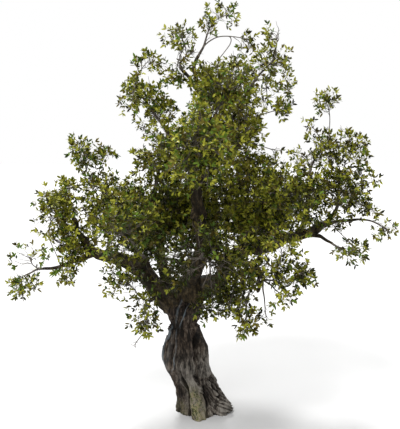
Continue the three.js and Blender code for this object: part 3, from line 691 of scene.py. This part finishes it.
def trunk_relief(heading, z):
    """What the bark adds to the trunk's radius, and its fields: strands, the root mass, furrows,
    lips and hollows with steep sides. The field hollow is painted shade, darkening the sunk bark and the
    hollows."""
    turned = np.radians(heading)
    flow = np.stack([0.3 * np.cos(turned), 0.3 * np.sin(turned), z], -1)
    wander = sum(degrees * (noise(flow, cells, seed) - 0.5) for degrees, cells, seed in WANDER)
    relief, pale = strands(heading + wander, z, flow)
    relief += root_mass(heading, z, flow) + furrows(z, flow) + waist_lips(heading, z, flow)
    # Painted shade: the bark darkens wherever it is sunk, and most in the deep hollows below
    hollow = 0.75 * step(-relief, 0.004, 0.03)
    worn = (1 - step(z, *WORN_TOP)) * (0.85 - 0.8 * near(heading, *DARK_SIDE))
    for _, at, height, width, tall, depth, lean in HOLLOWS:
        off = np.abs(apart(heading + 0.7 * wander, at + lean * (z - height)))
        shape = np.exp(-((off / width) ** 3)) * np.exp(-(np.abs(z - height) / tall) ** 4)
        relief -= depth * shape
        hollow = np.maximum(hollow, shape)
    moss = np.max([much * near(heading, at, width) * (1 - step(z, low, high))
                   for much, at, width, low, high in MOSS], axis=0)
    worn *= 0.4 + 0.6 * step(relief, -0.01, 0.02)
    return relief, {"pale": pale, "moss": moss, "hollow": hollow, "worn": worn}


def build_trunk():
    """The trunk's skin: point (heading, z) lies radius + relief from the leaning axis; rings closer
    together towards the axis close the top in a dome, and a fan closes the flat foot."""
    headings = np.linspace(0, 360, TRUNK_SIDES, endpoint=False)
    up = np.concatenate([np.linspace(0, TRUNK_HEIGHT, TRUNK_RINGS), np.full(DOME_RINGS, TRUNK_HEIGHT)])
    drawn_in = np.concatenate([np.ones(TRUNK_RINGS), np.linspace(0.96, 0.08, DOME_RINGS)])[:, None]
    heading, z = np.meshgrid(headings, up)
    relief, fields = trunk_relief(heading, z)
    r = (trunk_radius(heading, z) + relief) * drawn_in
    x = station(1, z) + r * np.cos(np.radians(heading))
    y = station(2, z) + r * np.sin(np.radians(heading))
    skin = np.stack([x, y, z + TRUNK_DOME * (1 - drawn_in**2)], -1).reshape(-1, 3)
    foot, top = trunk_axis(np.array([0.0, TRUNK_HEIGHT]))
    fields = {name: np.concatenate([values.ravel(), [0, 0]]) for name, values in fields.items()}
    piece("trunk_bark", np.concatenate([skin, [foot, top + TRUNK_DOME * UP]]),
          grid_faces(len(up), TRUNK_SIDES), TRUNK_FINISH, "bark", ["trunk"], **fields)


# Boughs

STOUT = 60 * MM  # limbs with a thicker base than this get a finer skin
# Sides, and how far it is from ring to ring
STOUT_SKIN, SLIM_SKIN = (44, 0.015), (22, 0.019)
LIMB_FLARE = 0.45
TRUNK_FLARE = 0.6
DEEP_ROOT = 0.15  # a limb buried deeper than this leaves the trunk
LIMB_TWIST = 0.9
# Painted highlight: how pale and blue the bark's ridges get where they face up
LIMB_TOP_HIGHLIGHT = 0.2
# Furrows and lumps: which noise, its strength, cells across and along, whether each grows with the
# limb (1) or not (0), seed
LIMB_FURROWS = [
    (ridged, 0.3, (0.06, 0.34), (1, 0), 11),
    (ridged, 0.16, (0.026, 0.15), (0, 0), 12),
    (noise, 0.24, (0.14, 0.2), (1, 1), 13),
    (noise, 0.1, (0.012, 0.03), (0, 0), 14),
]


class Limb:
    """A limb's centreline: the straight line from start to tip, bowed by 4t(1-t) and wandering by a
    seeded wave that fades out at both ends; the radius goes from base to end as t^0.8."""

    def __init__(self, row, number, limbs):
        _, parent, at, tip, bow, base, end = row
        self.tip, self.bow = np.array(tip) * MM, np.array(bow) * MM
        self.base, self.end = base * MM, end * MM
        if parent == "trunk":
            self.start = trunk_axis(np.array([at * TRUNK_HEIGHT]))[0]
            self.buried = float(station(3, np.array([at * TRUNK_HEIGHT]))[0])
        else:
            self.start = limbs[parent].at(np.array([at]))[0]
            self.buried = limbs[parent].radius(at)
        self.side, self.rise = seeded(number, 1), seeded(number, 2)
        self.length = float(np.linalg.norm(self.tip - self.start))

    def at(self, t):
        fade = (4 * t * (1 - t))[..., None]
        phase = np.array([self.side, self.side + 0.3, self.rise])
        wave = np.sin(2 * np.pi * (1.5 * t[..., None] + phase)) / 2
        way = self.start + (self.tip - self.start) * t[..., None]
        return way + fade * (self.bow + GNARL * (self.base + self.end) * wave)

    def tangent(self, t):
        return unit(self.at(np.minimum(1, t + 0.01)) - self.at(np.maximum(0, t - 0.01)))

    def radius(self, t):
        return self.base + (self.end - self.base) * t**LIMB_TAPER


limbs = {}
for number, row in enumerate(LIMBS):
    limbs[row[0]] = Limb(row, number, limbs)


def limb_relief(limb, number, radius, along, spin):
    """What the bark adds to a limb's radius, as a share of it, from noise in the limb's own space."""
    size = limb.base / 0.1
    local = np.stack([np.cos(spin) * radius, np.sin(spin) * radius,
                      np.broadcast_to(along, spin.shape)], -1) + 3.7 * number
    relief = np.zeros_like(spin)
    for kind, strength, (across, long), (wider, longer), seed in LIMB_FURROWS:
        cells = (across * size**wider, across * size**wider, long * size**longer)
        relief += strength * (kind(local, cells, seed) - 0.5)
    return relief


def limb_skin(limb, number):
    """A limb's bark: ring points at radius R (1 + furrows + lumps), where R flares where the limb
    leaves its parent and rounds off over its last radius."""
    sides, pitch = STOUT_SKIN if limb.base > STOUT else SLIM_SKIN
    rings = int(limb.length / pitch)
    t = np.linspace(0, 1, rings)
    points = limb.at(t)
    _, across, over = frames(points)
    along = t * limb.length
    flare = LIMB_FLARE * np.exp(-np.maximum(0, along - limb.buried) / (1.1 * limb.base))
    if limb.buried > DEEP_ROOT:
        flare *= TRUNK_FLARE
    left = limb.length - along
    rounding = np.sqrt(np.clip(1 - (1 - np.minimum(1, left / limb.end)) ** 2, 0.02, 1))
    radius = (limb.radius(t) * (1 + flare) * rounding)[:, None]
    turn = 2 * np.pi * np.arange(sides) / sides
    spin = turn + LIMB_TWIST * along[:, None] / max(limb.length, 0.5)
    relief = limb_relief(limb, number, radius, along[:, None], spin)
    out = around(turn, across[:, None], over[:, None])
    ring = points[:, None] + (radius * (1 + relief))[..., None] * out
    vertices = np.concatenate([ring.reshape(-1, 3), points[:1], points[-1:]])
    # Painted shade: the bark is darkened where it is sunk between the furrows
    hollow = 0.7 * step(-relief, 0.06, 0.24)
    # Painted highlight: ridges that face up are painted pale blue, as if lit from above
    pale = LIMB_TOP_HIGHLIGHT * np.clip(out[..., 2], 0, 1) * step(relief, 0.02, 0.16)
    fields = [np.concatenate([values.ravel(), [0, 0]]) for values in (hollow, pale)]
    return (vertices, grid_faces(rings, sides)), *fields


def build_boughs():
    skins, hollow, pale = zip(*(limb_skin(limb, number) for number, limb in enumerate(limbs.values())))
    vertices, faces = joined(skins)
    nothing = np.zeros(len(vertices))
    piece("boughs_bark", vertices, faces, BOUGH_FINISH, "bark", list(limbs),
          hollow=np.concatenate(hollow), pale=np.concatenate(pale), moss=nothing, worn=nothing)


# Twigs

LOBES = np.array([lobe for _, _, _, lobes in MASSES for lobe in lobes]) * MM
LOBE_MASS = np.array([m for m, (_, _, _, lobes) in enumerate(MASSES) for _ in lobes])
LIMB_CLEAR = 0.03
LIMB_SAMPLES = 24
BEYOND = 0.02  # no twig or shoot ends further than this outside the solids' box

GROWTH_SEED = 25
COLOUR_SEED = 4753
# Kinds of twig: rings, sides, sideways wave as a share of the length, radius at the tip, from what
# share of the length finer ones leave, radius at the base, least and greatest length
Kind = namedtuple("Kind", "rings sides wander tip branching base lengths", defaults=(None,) * 3)
STEM = Kind(26, 10, 0.02, 0.009, 0.15)
BRANCH = Kind(18, 8, 0.04, 0.006, 0.2)
SECOND = Kind(9, 5, 0.05, 0.0028, 0.3)
THIRD = Kind(6, 4, 0.05, 0.0022, base=0.0042, lengths=(0.08, 0.62))
BARE = Kind(12, 5, 0.07, 0.0022, base=0.0062, lengths=(0.2, 0.8))
STEM_ROOT = 1.5  # how many radii inside its limb's tip a stem starts
BRANCH_BASE, BRANCH_SHARE = 0.008, 0.6  # its least radius, and its share of its parent's
SECOND_PER_AREA = 60  # second twigs per square metre of a lobe's mean half size squared
LEAST_SECOND = 5
SECOND_OUT = (0.45, 0.68)
SECOND_BASE = (0.0042, 0.009)
SECOND_SHARE, SECOND_WANTED = 0.5, 0.6  # of the parent's radius, and of the lobe's size
THIRD_PER_AREA = 480  # third twigs, before the open places are left out
THIRD_OUT = (0.3, 0.85, 0.7)  # from how far out, how much further, and the power of the draw between
THIRD_SPREAD = 0.12
THIRD_WANTED = (0.34, 0.5)  # the length sought, at most and as a share of the lobe's size
OPEN_CELLS = (0.42, 0.2)
OPEN_SHARE = 0.4
OUTLINE_CELL = 0.2
OUTLINE = (0.55, 1.2)  # how far out third twigs may end, from bay to knob
FILLED = (0.6, 0.4)  # how much shallower bays and how much fewer open places get where it is full
CROWDED = 0.7  # how many more third twigs grow where it is full
# Full places (above 0) and open places (below 0): how much so, the centre and the half sizes, metres
FULLNESS = [
    (0.6, (0.05, -0.1, 3.25), (1.45, 1.15, 1.25)),
    (1, (-0.36, -1.2, 2.62), (0.34, 0.9, 0.55)),
    (1, (0.05, 1.15, 2.9), (0.9, 0.9, 0.7)),
    (1, (0.25, -1.3, 2.85), (0.25, 0.6, 0.25)),
    (0.8, (-0.35, 0, 5), (0.42, 0.6, 0.32)),
    (0.8, (0, -0.4, 5.15), (0.25, 0.5, 0.35)),
    (1, (0, -1.1, 3.5), (0.32, 0.9, 0.38)),
    (0.7, (-1.85, -0.35, 2.45), (0.35, 0.5, 0.25)),
    (0.5, (-2.12, -0.2, 3.5), (0.2, 0.5, 0.3)),
    (0.2, (-1.72, 0.18, 4.05), (0.28, 0.5, 0.3)),
    (0.5, (1.3, -1, 2.45), (0.3, 0.5, 0.18)),
    (0.4, (0.55, -1.1, 1.98), (0.6, 0.6, 0.22)),
    (0.5, (2.3, -0.1, 3), (0.25, 0.4, 0.15)),
    (0.1, (-0.8, -0.05, 5.5), (0.2, 0.3, 0.2)),
    (0.5, (1.95, 0.1, 4.85), (0.2, 0.3, 0.15)),
    (-0.3, (-0.8, 0.1, 4.5), (0.25, 0.5, 0.22)),
    (-0.2, (-0.75, -1.15, 1.75), (0.35, 0.5, 0.3)),
    (-0.15, (1.38, 0.25, 5.45), (0.25, 0.5, 0.75)),
    (-0.2, (0.76, 0, 5.9), (0.2, 0.35, 0.22)),
    (-0.4, (0.2, 0, 5.5), (0.2, 0.4, 0.14)),
    (-0.3, (1.3, -1.05, 2.8), (0.3, 0.4, 0.2)),
    (-0.6, (2.65, 0, 3.32), (0.3, 0.4, 0.15)),
    (-2, (-0.02, -1.2, 2.64), (0.2, 0.9, 0.42)),
    (-2, (0.88, -1.1, 2.16), (0.15, 0.8, 0.2)),
]
BARE_TWIGS = 5  # bare twigs in a lobe, where they tend to point and how far out they end
BARE_WAY = np.array([0.0, -0.5, 0.2])
BARE_REACH = (0.7, 1.1)
BARE_WANTED = 0.9


def outness(points, mass):
    """How far out points lie in the nearest lobe of a mass, 0 at its centre and 1 on its outline,
    and in the nearest lobe of any other mass."""
    off = (points[:, None] - LOBES[None, :, :3]) / LOBES[None, :, 3:]
    far = np.linalg.norm(off, axis=-1)
    own = LOBE_MASS == mass
    return far[:, own].min(1), far[:, ~own].min(1)


def in_own_space(points, mass, limit=1.0):
    own, other = outness(points, mass)
    return (own < limit) & (other > own + SPACE_MARGIN)


def inside_box(points):
    return ((points > np.array(CAD_BOX[0]) - BEYOND) & (points < np.array(CAD_BOX[1]) + BEYOND)).all(1)


def clear_of_limbs(points):
    """Whether points lie further than the clearance from every limb's skin."""
    t = np.linspace(0, 1, LIMB_SAMPLES)
    line = np.concatenate([limb.at(t) for limb in limbs.values()])
    reach = np.concatenate([limb.radius(t) for limb in limbs.values()]) + LIMB_CLEAR
    far = np.linalg.norm(points[:, None] - line[None], axis=-1)
    return (far > reach[None]).all(1)


def directions(seed, n):
    """n directions spread evenly over the sphere by the golden angle, turned by a seeded one."""
    k = np.arange(n)
    up = 1 - (2 * k + 1) / n
    turn = GOLDEN_ANGLE * k + 2 * math.pi * seeded(seed, 7)
    flat = np.sqrt(1 - up * up)
    return np.stack([flat * np.cos(turn), flat * np.sin(turn), up], -1)


def best_start(network, ends, wanted):
    """For each end, the network point with the least |length / wanted - 1| + max(0, 0.6 - slant),
    where slant is how straight ahead the twig would leave: point, way, radius and length."""
    points, tangents, radii = network
    way = ends[:, None] - points[None]
    length = np.linalg.norm(way, axis=-1)
    slant = (way * tangents[None]).sum(-1) / np.maximum(length, 1e-6)
    pick = (np.abs(length / wanted - 1) + np.maximum(0, TWIG_SLANT - slant)).argmin(1)
    return points[pick], tangents[pick], radii[pick], np.take_along_axis(length, pick[:, None], 1)[:, 0]


def grown(start, away, end, base, kind, rng):
    """Twigs that leave along their parent's way and turn to their ends: a quadratic curve whose
    turning point is 0.45 of the length ahead, with a small sideways wave."""
    length = np.linalg.norm(end - start, axis=-1)
    turn = start + away * (TWIG_TURN * length)[:, None]
    t = np.linspace(0, 1, kind.rings)[None, :, None]
    points = (1 - t) ** 2 * start[:, None] + 2 * t * (1 - t) * turn[:, None] + t**2 * end[:, None]
    side = unit(rng.normal(size=start.shape))[:, None] * (kind.wander * length)[:, None, None]
    phase = rng.uniform(0, 1, (len(start), 1, 1))
    points = points + side * np.sin(2 * np.pi * (1.4 * t + phase)) * 4 * t * (1 - t)
    base = np.broadcast_to(base, len(start))[:, None]
    return points, base + (kind.tip - base) * t[:, :, 0]


def network_of(points, radii, kind):
    """The samples of twigs that finer twigs may leave from."""
    ahead = frames(points)[0]
    first = int(round(kind.branching * points.shape[1]))
    return (points[:, first:].reshape(-1, 3), ahead[:, first:].reshape(-1, 3),
            radii[:, first:].reshape(-1))


def attached(network, ends, wanted, kind, rng):
    """Twigs from their best starts, but for those that would be too short or too long."""
    start, away, _, length = best_start(network, ends, wanted)
    keep = (length > kind.lengths[0]) & (length < kind.lengths[1])
    return grown(start[keep], away[keep], ends[keep], kind.base, kind, rng)


def stem_and_branches(limb, centres, rng):
    """A stem from the limb's tip into the first lobe, a branch into each other lobe, and where
    finer twigs may leave them."""
    tip = limb.at(np.array([1.0]))[0]
    root = np.array([1 - STEM_ROOT * limb.end / limb.length])
    past = centres[0] + STEM_PAST_CENTRE * (centres[0] - tip)
    stem = grown(limb.at(root), limb.tangent(root), past[None], limb.end, STEM, rng)
    rods = [tubes(*stem, STEM.sides)]
    network = network_of(*stem, STEM)
    for centre in centres[1:]:
        start, away, radius, _ = best_start(network, centre[None], np.linalg.norm(centre - centres[0]))
        base = np.maximum(BRANCH_BASE, BRANCH_SHARE * radius)
        branch = grown(start, away, centre[None], base, BRANCH, rng)
        rods.append(tubes(*branch, BRANCH.sides))
        network = stacked([network, network_of(*branch, BRANCH)])
    return rods, network


def second_twigs(mass, place, lobe, network, rng):
    """Second twigs, spread evenly in a lobe."""
    size = lobe[3:].mean()
    n = max(LEAST_SECOND, int(round(SECOND_PER_AREA * size**2)))
    ends = lobe[:3] + directions(10 * mass + place, n) * lobe[3:] * rng.uniform(*SECOND_OUT, (n, 1))
    ends = ends[in_own_space(ends, mass)]
    start, away, radius, _ = best_start(network, ends, SECOND_WANTED * size)
    base = np.clip(SECOND_SHARE * radius, *SECOND_BASE)
    return grown(start, away, ends, base, SECOND, rng)


def third_twigs(mass, place, lobe, network, rng):
    """Third twigs, out to a lobe's outline with its bays and knobs, but for the open places."""
    size = lobe[3:].mean()
    n = int(round(THIRD_PER_AREA * (1 + CROWDED) * MASSES[mass][2] * size**2))
    least, further, power = THIRD_OUT
    out = least + further * rng.uniform(0, 1, (n, 1)) ** power
    way = unit(directions(10 * mass + place + 5, n) + rng.normal(0, THIRD_SPREAD, (n, 3)))
    ends = lobe[:3] + way * lobe[3:] * out
    filled = np.minimum(by_place(ends, FULLNESS, 4), 1.0)
    bay = OUTLINE[0] + FILLED[0] * filled
    limit = bay + (OUTLINE[1] - bay) * noise(ends, OUTLINE_CELL, 23)
    full = 0.5 * noise(ends, OPEN_CELLS[0], 21) + 0.5 * noise(ends, OPEN_CELLS[1], 22)
    grows = rng.uniform(0, 1 + CROWDED, n) < 1 + CROWDED * filled
    grows &= (full > OPEN_SHARE - FILLED[1] * filled) & inside_box(ends)
    ends = ends[grows & in_own_space(ends, mass, limit)]
    return attached(network, ends, min(THIRD_WANTED[0], THIRD_WANTED[1] * size), THIRD, rng)


def bare_twigs(mass, lobe, network, rng):
    """A few bare twigs that tend to stick out of a lobe towards the front."""
    way = unit(rng.normal(size=(BARE_TWIGS, 3)) + BARE_WAY)
    ends = lobe[:3] + way * lobe[3:] * rng.uniform(*BARE_REACH, (BARE_TWIGS, 1))
    ends = ends[in_own_space(ends, mass, OUTLINE[1]) & inside_box(ends)]
    return attached(network, ends, BARE_WANTED * lobe[3:].mean(), BARE, rng)


def grow_mass(mass, rng):
    """A mass: its stem, branches and bare twigs as rods, its second twigs and its third twigs."""
    _, on, _, lobes = MASSES[mass]
    lobes = np.array(lobes) * MM
    rods, network = stem_and_branches(limbs[on], lobes[:, :3], rng)
    second = [second_twigs(mass, place, lobe, network, rng) for place, lobe in enumerate(lobes)]
    network = stacked([network] + [network_of(*twigs, SECOND) for twigs in second])
    third = [third_twigs(mass, place, lobe, network, rng) for place, lobe in enumerate(lobes)]
    bare = [bare_twigs(mass, lobe, network, rng) for lobe in lobes]
    rods += [tubes(*twigs, BARE.sides) for twigs in bare if len(twigs[0])]
    return rods, stacked(second), stacked(third)


# Shoots and leaves

SHOOTS_AT = (0.35, 0.58, 0.8, 1.0)
SHOOT_LENGTH = (0.09, 0.18)
SHOOT_RADII = np.array([0.0017, 0.0011])
SHOOT_SIDES = 3
SHOOT_LIFT = 0.22
SHOOT_TURN_SPREAD = 0.4
SIDE_LEAN, TIP_LEAN = (30, 62), (0, 16)  # degrees from the twig's way, on its side and at its tip
LEAF_LENGTH = 0.078
LEAF_SIZES = (0.72, 1.18)
LEAF_WIDTH = 0.42
LEAVES_KEPT = 0.93
LEAF_FACE = (0.3, 0.5, 0.6)  # how much a leaf faces up, along its shoot and at random
LEAF_JITTER = (0.22, 13)  # the spread of its turn, radians, and of its lean, degrees
# Along the leaf, out to the side and up from its plane, as shares of its length and half width
LEAF_POINTS = np.array([
    (0, 0, 0), (0.3, 0.92, 0.05), (0.68, 0.84, 0.03), (1, 0, -0.05),
    (0.68, -0.84, 0.03), (0.3, -0.92, 0.05), (0.5, 0, -0.015)])
LEAF_FACES = np.array([(0, 6, 1), (6, 2, 1), (6, 3, 2), (0, 5, 6), (6, 5, 4), (6, 4, 3)])
# The leaves of a shoot: how far along it, their place in the turn, and how far they stand off
LEAF_PLACES = [(1, 0, 18), (0.98, 0.15, 50), (0.96, 0.4, 52), (0.94, 0.65, 54), (0.9, 0.9, 60),
               (0.62, 0.25, 58), (0.56, 0.75, 58)]
SPRAYS_FROM = (0.6, 0.9)  # leaves further along than these are the shoot's second and third sprays


def grow_shoots(points, mass, rng):
    """Shoots on third twigs: at each of several places one leaves at 30 to 62 degrees, turned on by
    the golden angle from the last and lifted a little; the last goes nearly straight on."""
    n, rings, _ = points.shape
    ahead, across, over = frames(points)
    starts, ways = [], []
    for k, at in enumerate(SHOOTS_AT):
        i = min(int(at * (rings - 1)), rings - 2)
        w = at * (rings - 1) - i
        starts.append(points[:, i] * (1 - w) + points[:, i + 1] * w)
        first = rng.uniform(0, 2 * np.pi, n) * (k == 0)
        turn = GOLDEN_ANGLE * k + first + rng.normal(0, SHOOT_TURN_SPREAD, n)
        lean = np.radians(rng.uniform(*(SIDE_LEAN if at < 1 else TIP_LEAN), n))[:, None]
        side = around(turn, across[:, i + 1], over[:, i + 1])
        ways.append(unit(np.cos(lean) * ahead[:, i + 1] + np.sin(lean) * side + SHOOT_LIFT * UP))
    starts, ways = np.concatenate(starts), np.concatenate(ways)
    ends = starts + ways * rng.uniform(*SHOOT_LENGTH, len(starts))[:, None]
    own, _ = outness(ends, mass)
    keep = (own < OUTLINE[1]) & clear_of_limbs(ends) & inside_box(ends)
    return starts[keep], ways[keep], ends[keep], own[keep]


def grow_leaves(starts, ways, ends, rng):
    """The leaves of shoots: each runs out from its shoot at its place's angle, faces up and away
    along the shoot, and is turned and sized at random: its points, its shoot and its spray."""
    n = len(starts)
    across = unit(np.cross(np.eye(3)[np.argmin(np.abs(ways), axis=-1)], ways))
    over = np.cross(ways, across)
    spin = rng.uniform(0, 2 * np.pi, n)
    along, width, rise = LEAF_POINTS.T[:, :, None]
    vertices, owner, spray = [], [], []
    for at, place, stands_off in LEAF_PLACES:
        turn = spin + 2 * np.pi * place + rng.normal(0, LEAF_JITTER[0], n)
        lean = np.radians(stands_off + rng.normal(0, LEAF_JITTER[1], n))[:, None]
        way = unit(np.cos(lean) * ways + np.sin(lean) * around(turn, across, over))
        face = UP * LEAF_FACE[0] + ways * LEAF_FACE[1] + LEAF_FACE[2] * rng.normal(size=(n, 3))
        face = unit(face - (face * way).sum(-1, keepdims=True) * way)
        flat = np.cross(face, way)
        length = LEAF_LENGTH * rng.uniform(*LEAF_SIZES, n)[:, None, None]
        half = length * LEAF_WIDTH / 2
        root = starts + (ends - starts) * at
        leaf = (root[:, None] + way[:, None] * (along * length) + flat[:, None] * (width * half)
                + face[:, None] * (rise * length))
        keep = rng.uniform(0, 1, n) < LEAVES_KEPT
        vertices.append(leaf[keep])
        owner.append(np.flatnonzero(keep))
        spray.append(np.full(keep.sum(), sum(at > start for start in SPRAYS_FROM)))
    return np.concatenate(vertices), np.concatenate(owner), np.concatenate(spray)


def deal_tones(ends, own, dealer):
    """The colour of each of the three sprays of each shoot: lighter far out and high up, lighter or
    darker in patches and by place, with a random share; some then become greener or browner. The
    lighter tones far out, high up and by place are painted light, the darker ones deep in the lobes
    and by place painted shade."""
    # Painted light and shade: lighter far out and high up, darker deep in, and by place
    tone = USUAL_TONE + OUTER_TONE * (own - OUTNESS_MEAN) + PATCH_TONE * (noise(ends, PATCH_CELL, 31) - 0.5)
    tone += RISE_TONE * (ends[:, 2] - CROWN_FOOT) / CROWN_HEIGHT + by_place(ends, SHADE_AND_LIGHT_PLACES, 2)
    tone = tone + dealer.normal(0, TONE_SPREAD, (3, len(ends)))
    tone = np.clip(np.round(tone), 0, OLIVE_TONES - 1).astype(int)
    light = (tone >= LIGHT_FROM).astype(int)
    draw = dealer.uniform(0, 1, tone.shape)
    usual, greener = FRESH_SHARE
    fresh = usual + (greener - usual) * step(noise(ends, FRESH_CELL, 41), *FRESH_EDGE)
    tone = np.where(draw < fresh, FRESH_TONES[light], tone)
    return np.where(draw > 1 - RUSSET_SHARE, RUSSET_TONES[light], tone)


def build_twigs(rods, second, third, shoots, names):
    starts, ends = shoots
    t = np.array([0, 1])[None, :, None]
    stalks = starts[:, None] * (1 - t) + ends[:, None] * t
    radii = np.broadcast_to(SHOOT_RADII, (len(starts), 2))
    for name, skin in (("twigs_coarse", joined(rods + [tubes(*second, SECOND.sides)])),
                       ("twigs_fine", tubes(*third, THIRD.sides)),
                       ("twigs_shoots", tubes(stalks, radii, SHOOT_SIDES))):
        piece(name, *skin, TWIG_FINISH, "bark", names)


def build_leaves(leaves, tones, names):
    for k, (name, colour) in enumerate(LEAF_TONES):
        own = leaves[tones == k]
        shift = (np.arange(len(own)) * len(LEAF_POINTS))[:, None, None]
        piece(name, own, [(LEAF_FACES + shift).reshape(-1, 3)], leaf_finish(name, colour), "foliage",
              names, smooth=False)


def build_foliage():
    """Every mass, grown and dealt its colours from its own seeds, joined by kind."""
    rods, second, third, shoots, leaves = [], [], [], [], []
    for mass in range(len(MASSES)):
        rng = np.random.default_rng([GROWTH_SEED, mass])
        dealer = np.random.default_rng([COLOUR_SEED, mass])
        stems, twigs, fine = grow_mass(mass, rng)
        starts, ways, ends, own = grow_shoots(fine[0], mass, rng)
        points, owner, spray = grow_leaves(starts, ways, ends, rng)
        rods += stems
        second.append(twigs)
        third.append(fine)
        shoots.append((starts, ends))
        leaves.append((points, deal_tones(ends, own, dealer)[spray, owner]))
    names = ["foliage_" + row[0] for row in MASSES]
    build_twigs(rods, stacked(second), stacked(third), stacked(shoots), names)
    build_leaves(*stacked(leaves), names)


# Camera, floor and light

CAMERA_AT = (0, -10.0, 4.45)
CAMERA_TILT = 7.26
FOCAL_PIXELS, PHOTO_HEIGHT = 640, 429  # the focal length and the photo's height in its pixels
SENSOR = 36
CLIP_END = 300
FLOOR_HALF = 80
FLOOR_TONES = ((0.2, (0.42, 0.42, 0.42)), (0.8, (0.45, 0.45, 0.45)))
# Lights: name, energy, how wide they look in degrees, and where they shine from
LIGHTS = [("key_light", 5.0, 12, (-0.25, 0.75, 1.0)), ("fill_light", 2.4, 20, (-0.45, -0.6, 1.0))]


def build_camera():
    camera = placed("camera", bpy.data.cameras.new("camera"))
    camera.location = CAMERA_AT
    camera.rotation_euler = (math.radians(90 - CAMERA_TILT), 0, 0)
    camera.data.sensor_width = SENSOR
    camera.data.lens = FOCAL_PIXELS * SENSOR / PHOTO_HEIGHT
    camera.data.clip_end = CLIP_END
    bpy.context.scene.camera = camera


def build_floor():
    mesh = bpy.data.meshes.new("floor")
    corners = [(x * FLOOR_HALF, y * FLOOR_HALF, 0) for x, y in ((-1, -1), (1, -1), (1, 1), (-1, 1))]
    mesh.from_pydata(corners, [], [(0, 1, 2, 3)])
    paint = Finish("floor_paint", Roughness=0.9, Specular_IOR_Level=0.1)
    wash = paint.grain(0.4, 2, 0.5)
    mesh.materials.append(paint.shade(Base_Color=paint.ramp(wash, *FLOOR_TONES)))
    placed("floor", mesh)


def build_light():
    world = bpy.data.worlds.new("studio")
    bpy.context.scene.world = world
    world.use_nodes = True
    sky = world.node_tree.nodes["Background"]
    sky.inputs["Color"].default_value = (1, 1, 1, 1)
    sky.inputs["Strength"].default_value = 1.0
    for name, energy, angle, towards in LIGHTS:
        light = placed(name, bpy.data.lights.new(name, "SUN"))
        light.data.energy, light.data.angle = energy, math.radians(angle)
        light.rotation_euler = Vector(towards).to_track_quat("Z", "Y").to_euler()
    bpy.context.scene.view_settings.view_transform = "Standard"


build_camera()
build_floor()
build_light()
build_trunk()
build_boughs()
build_foliage()
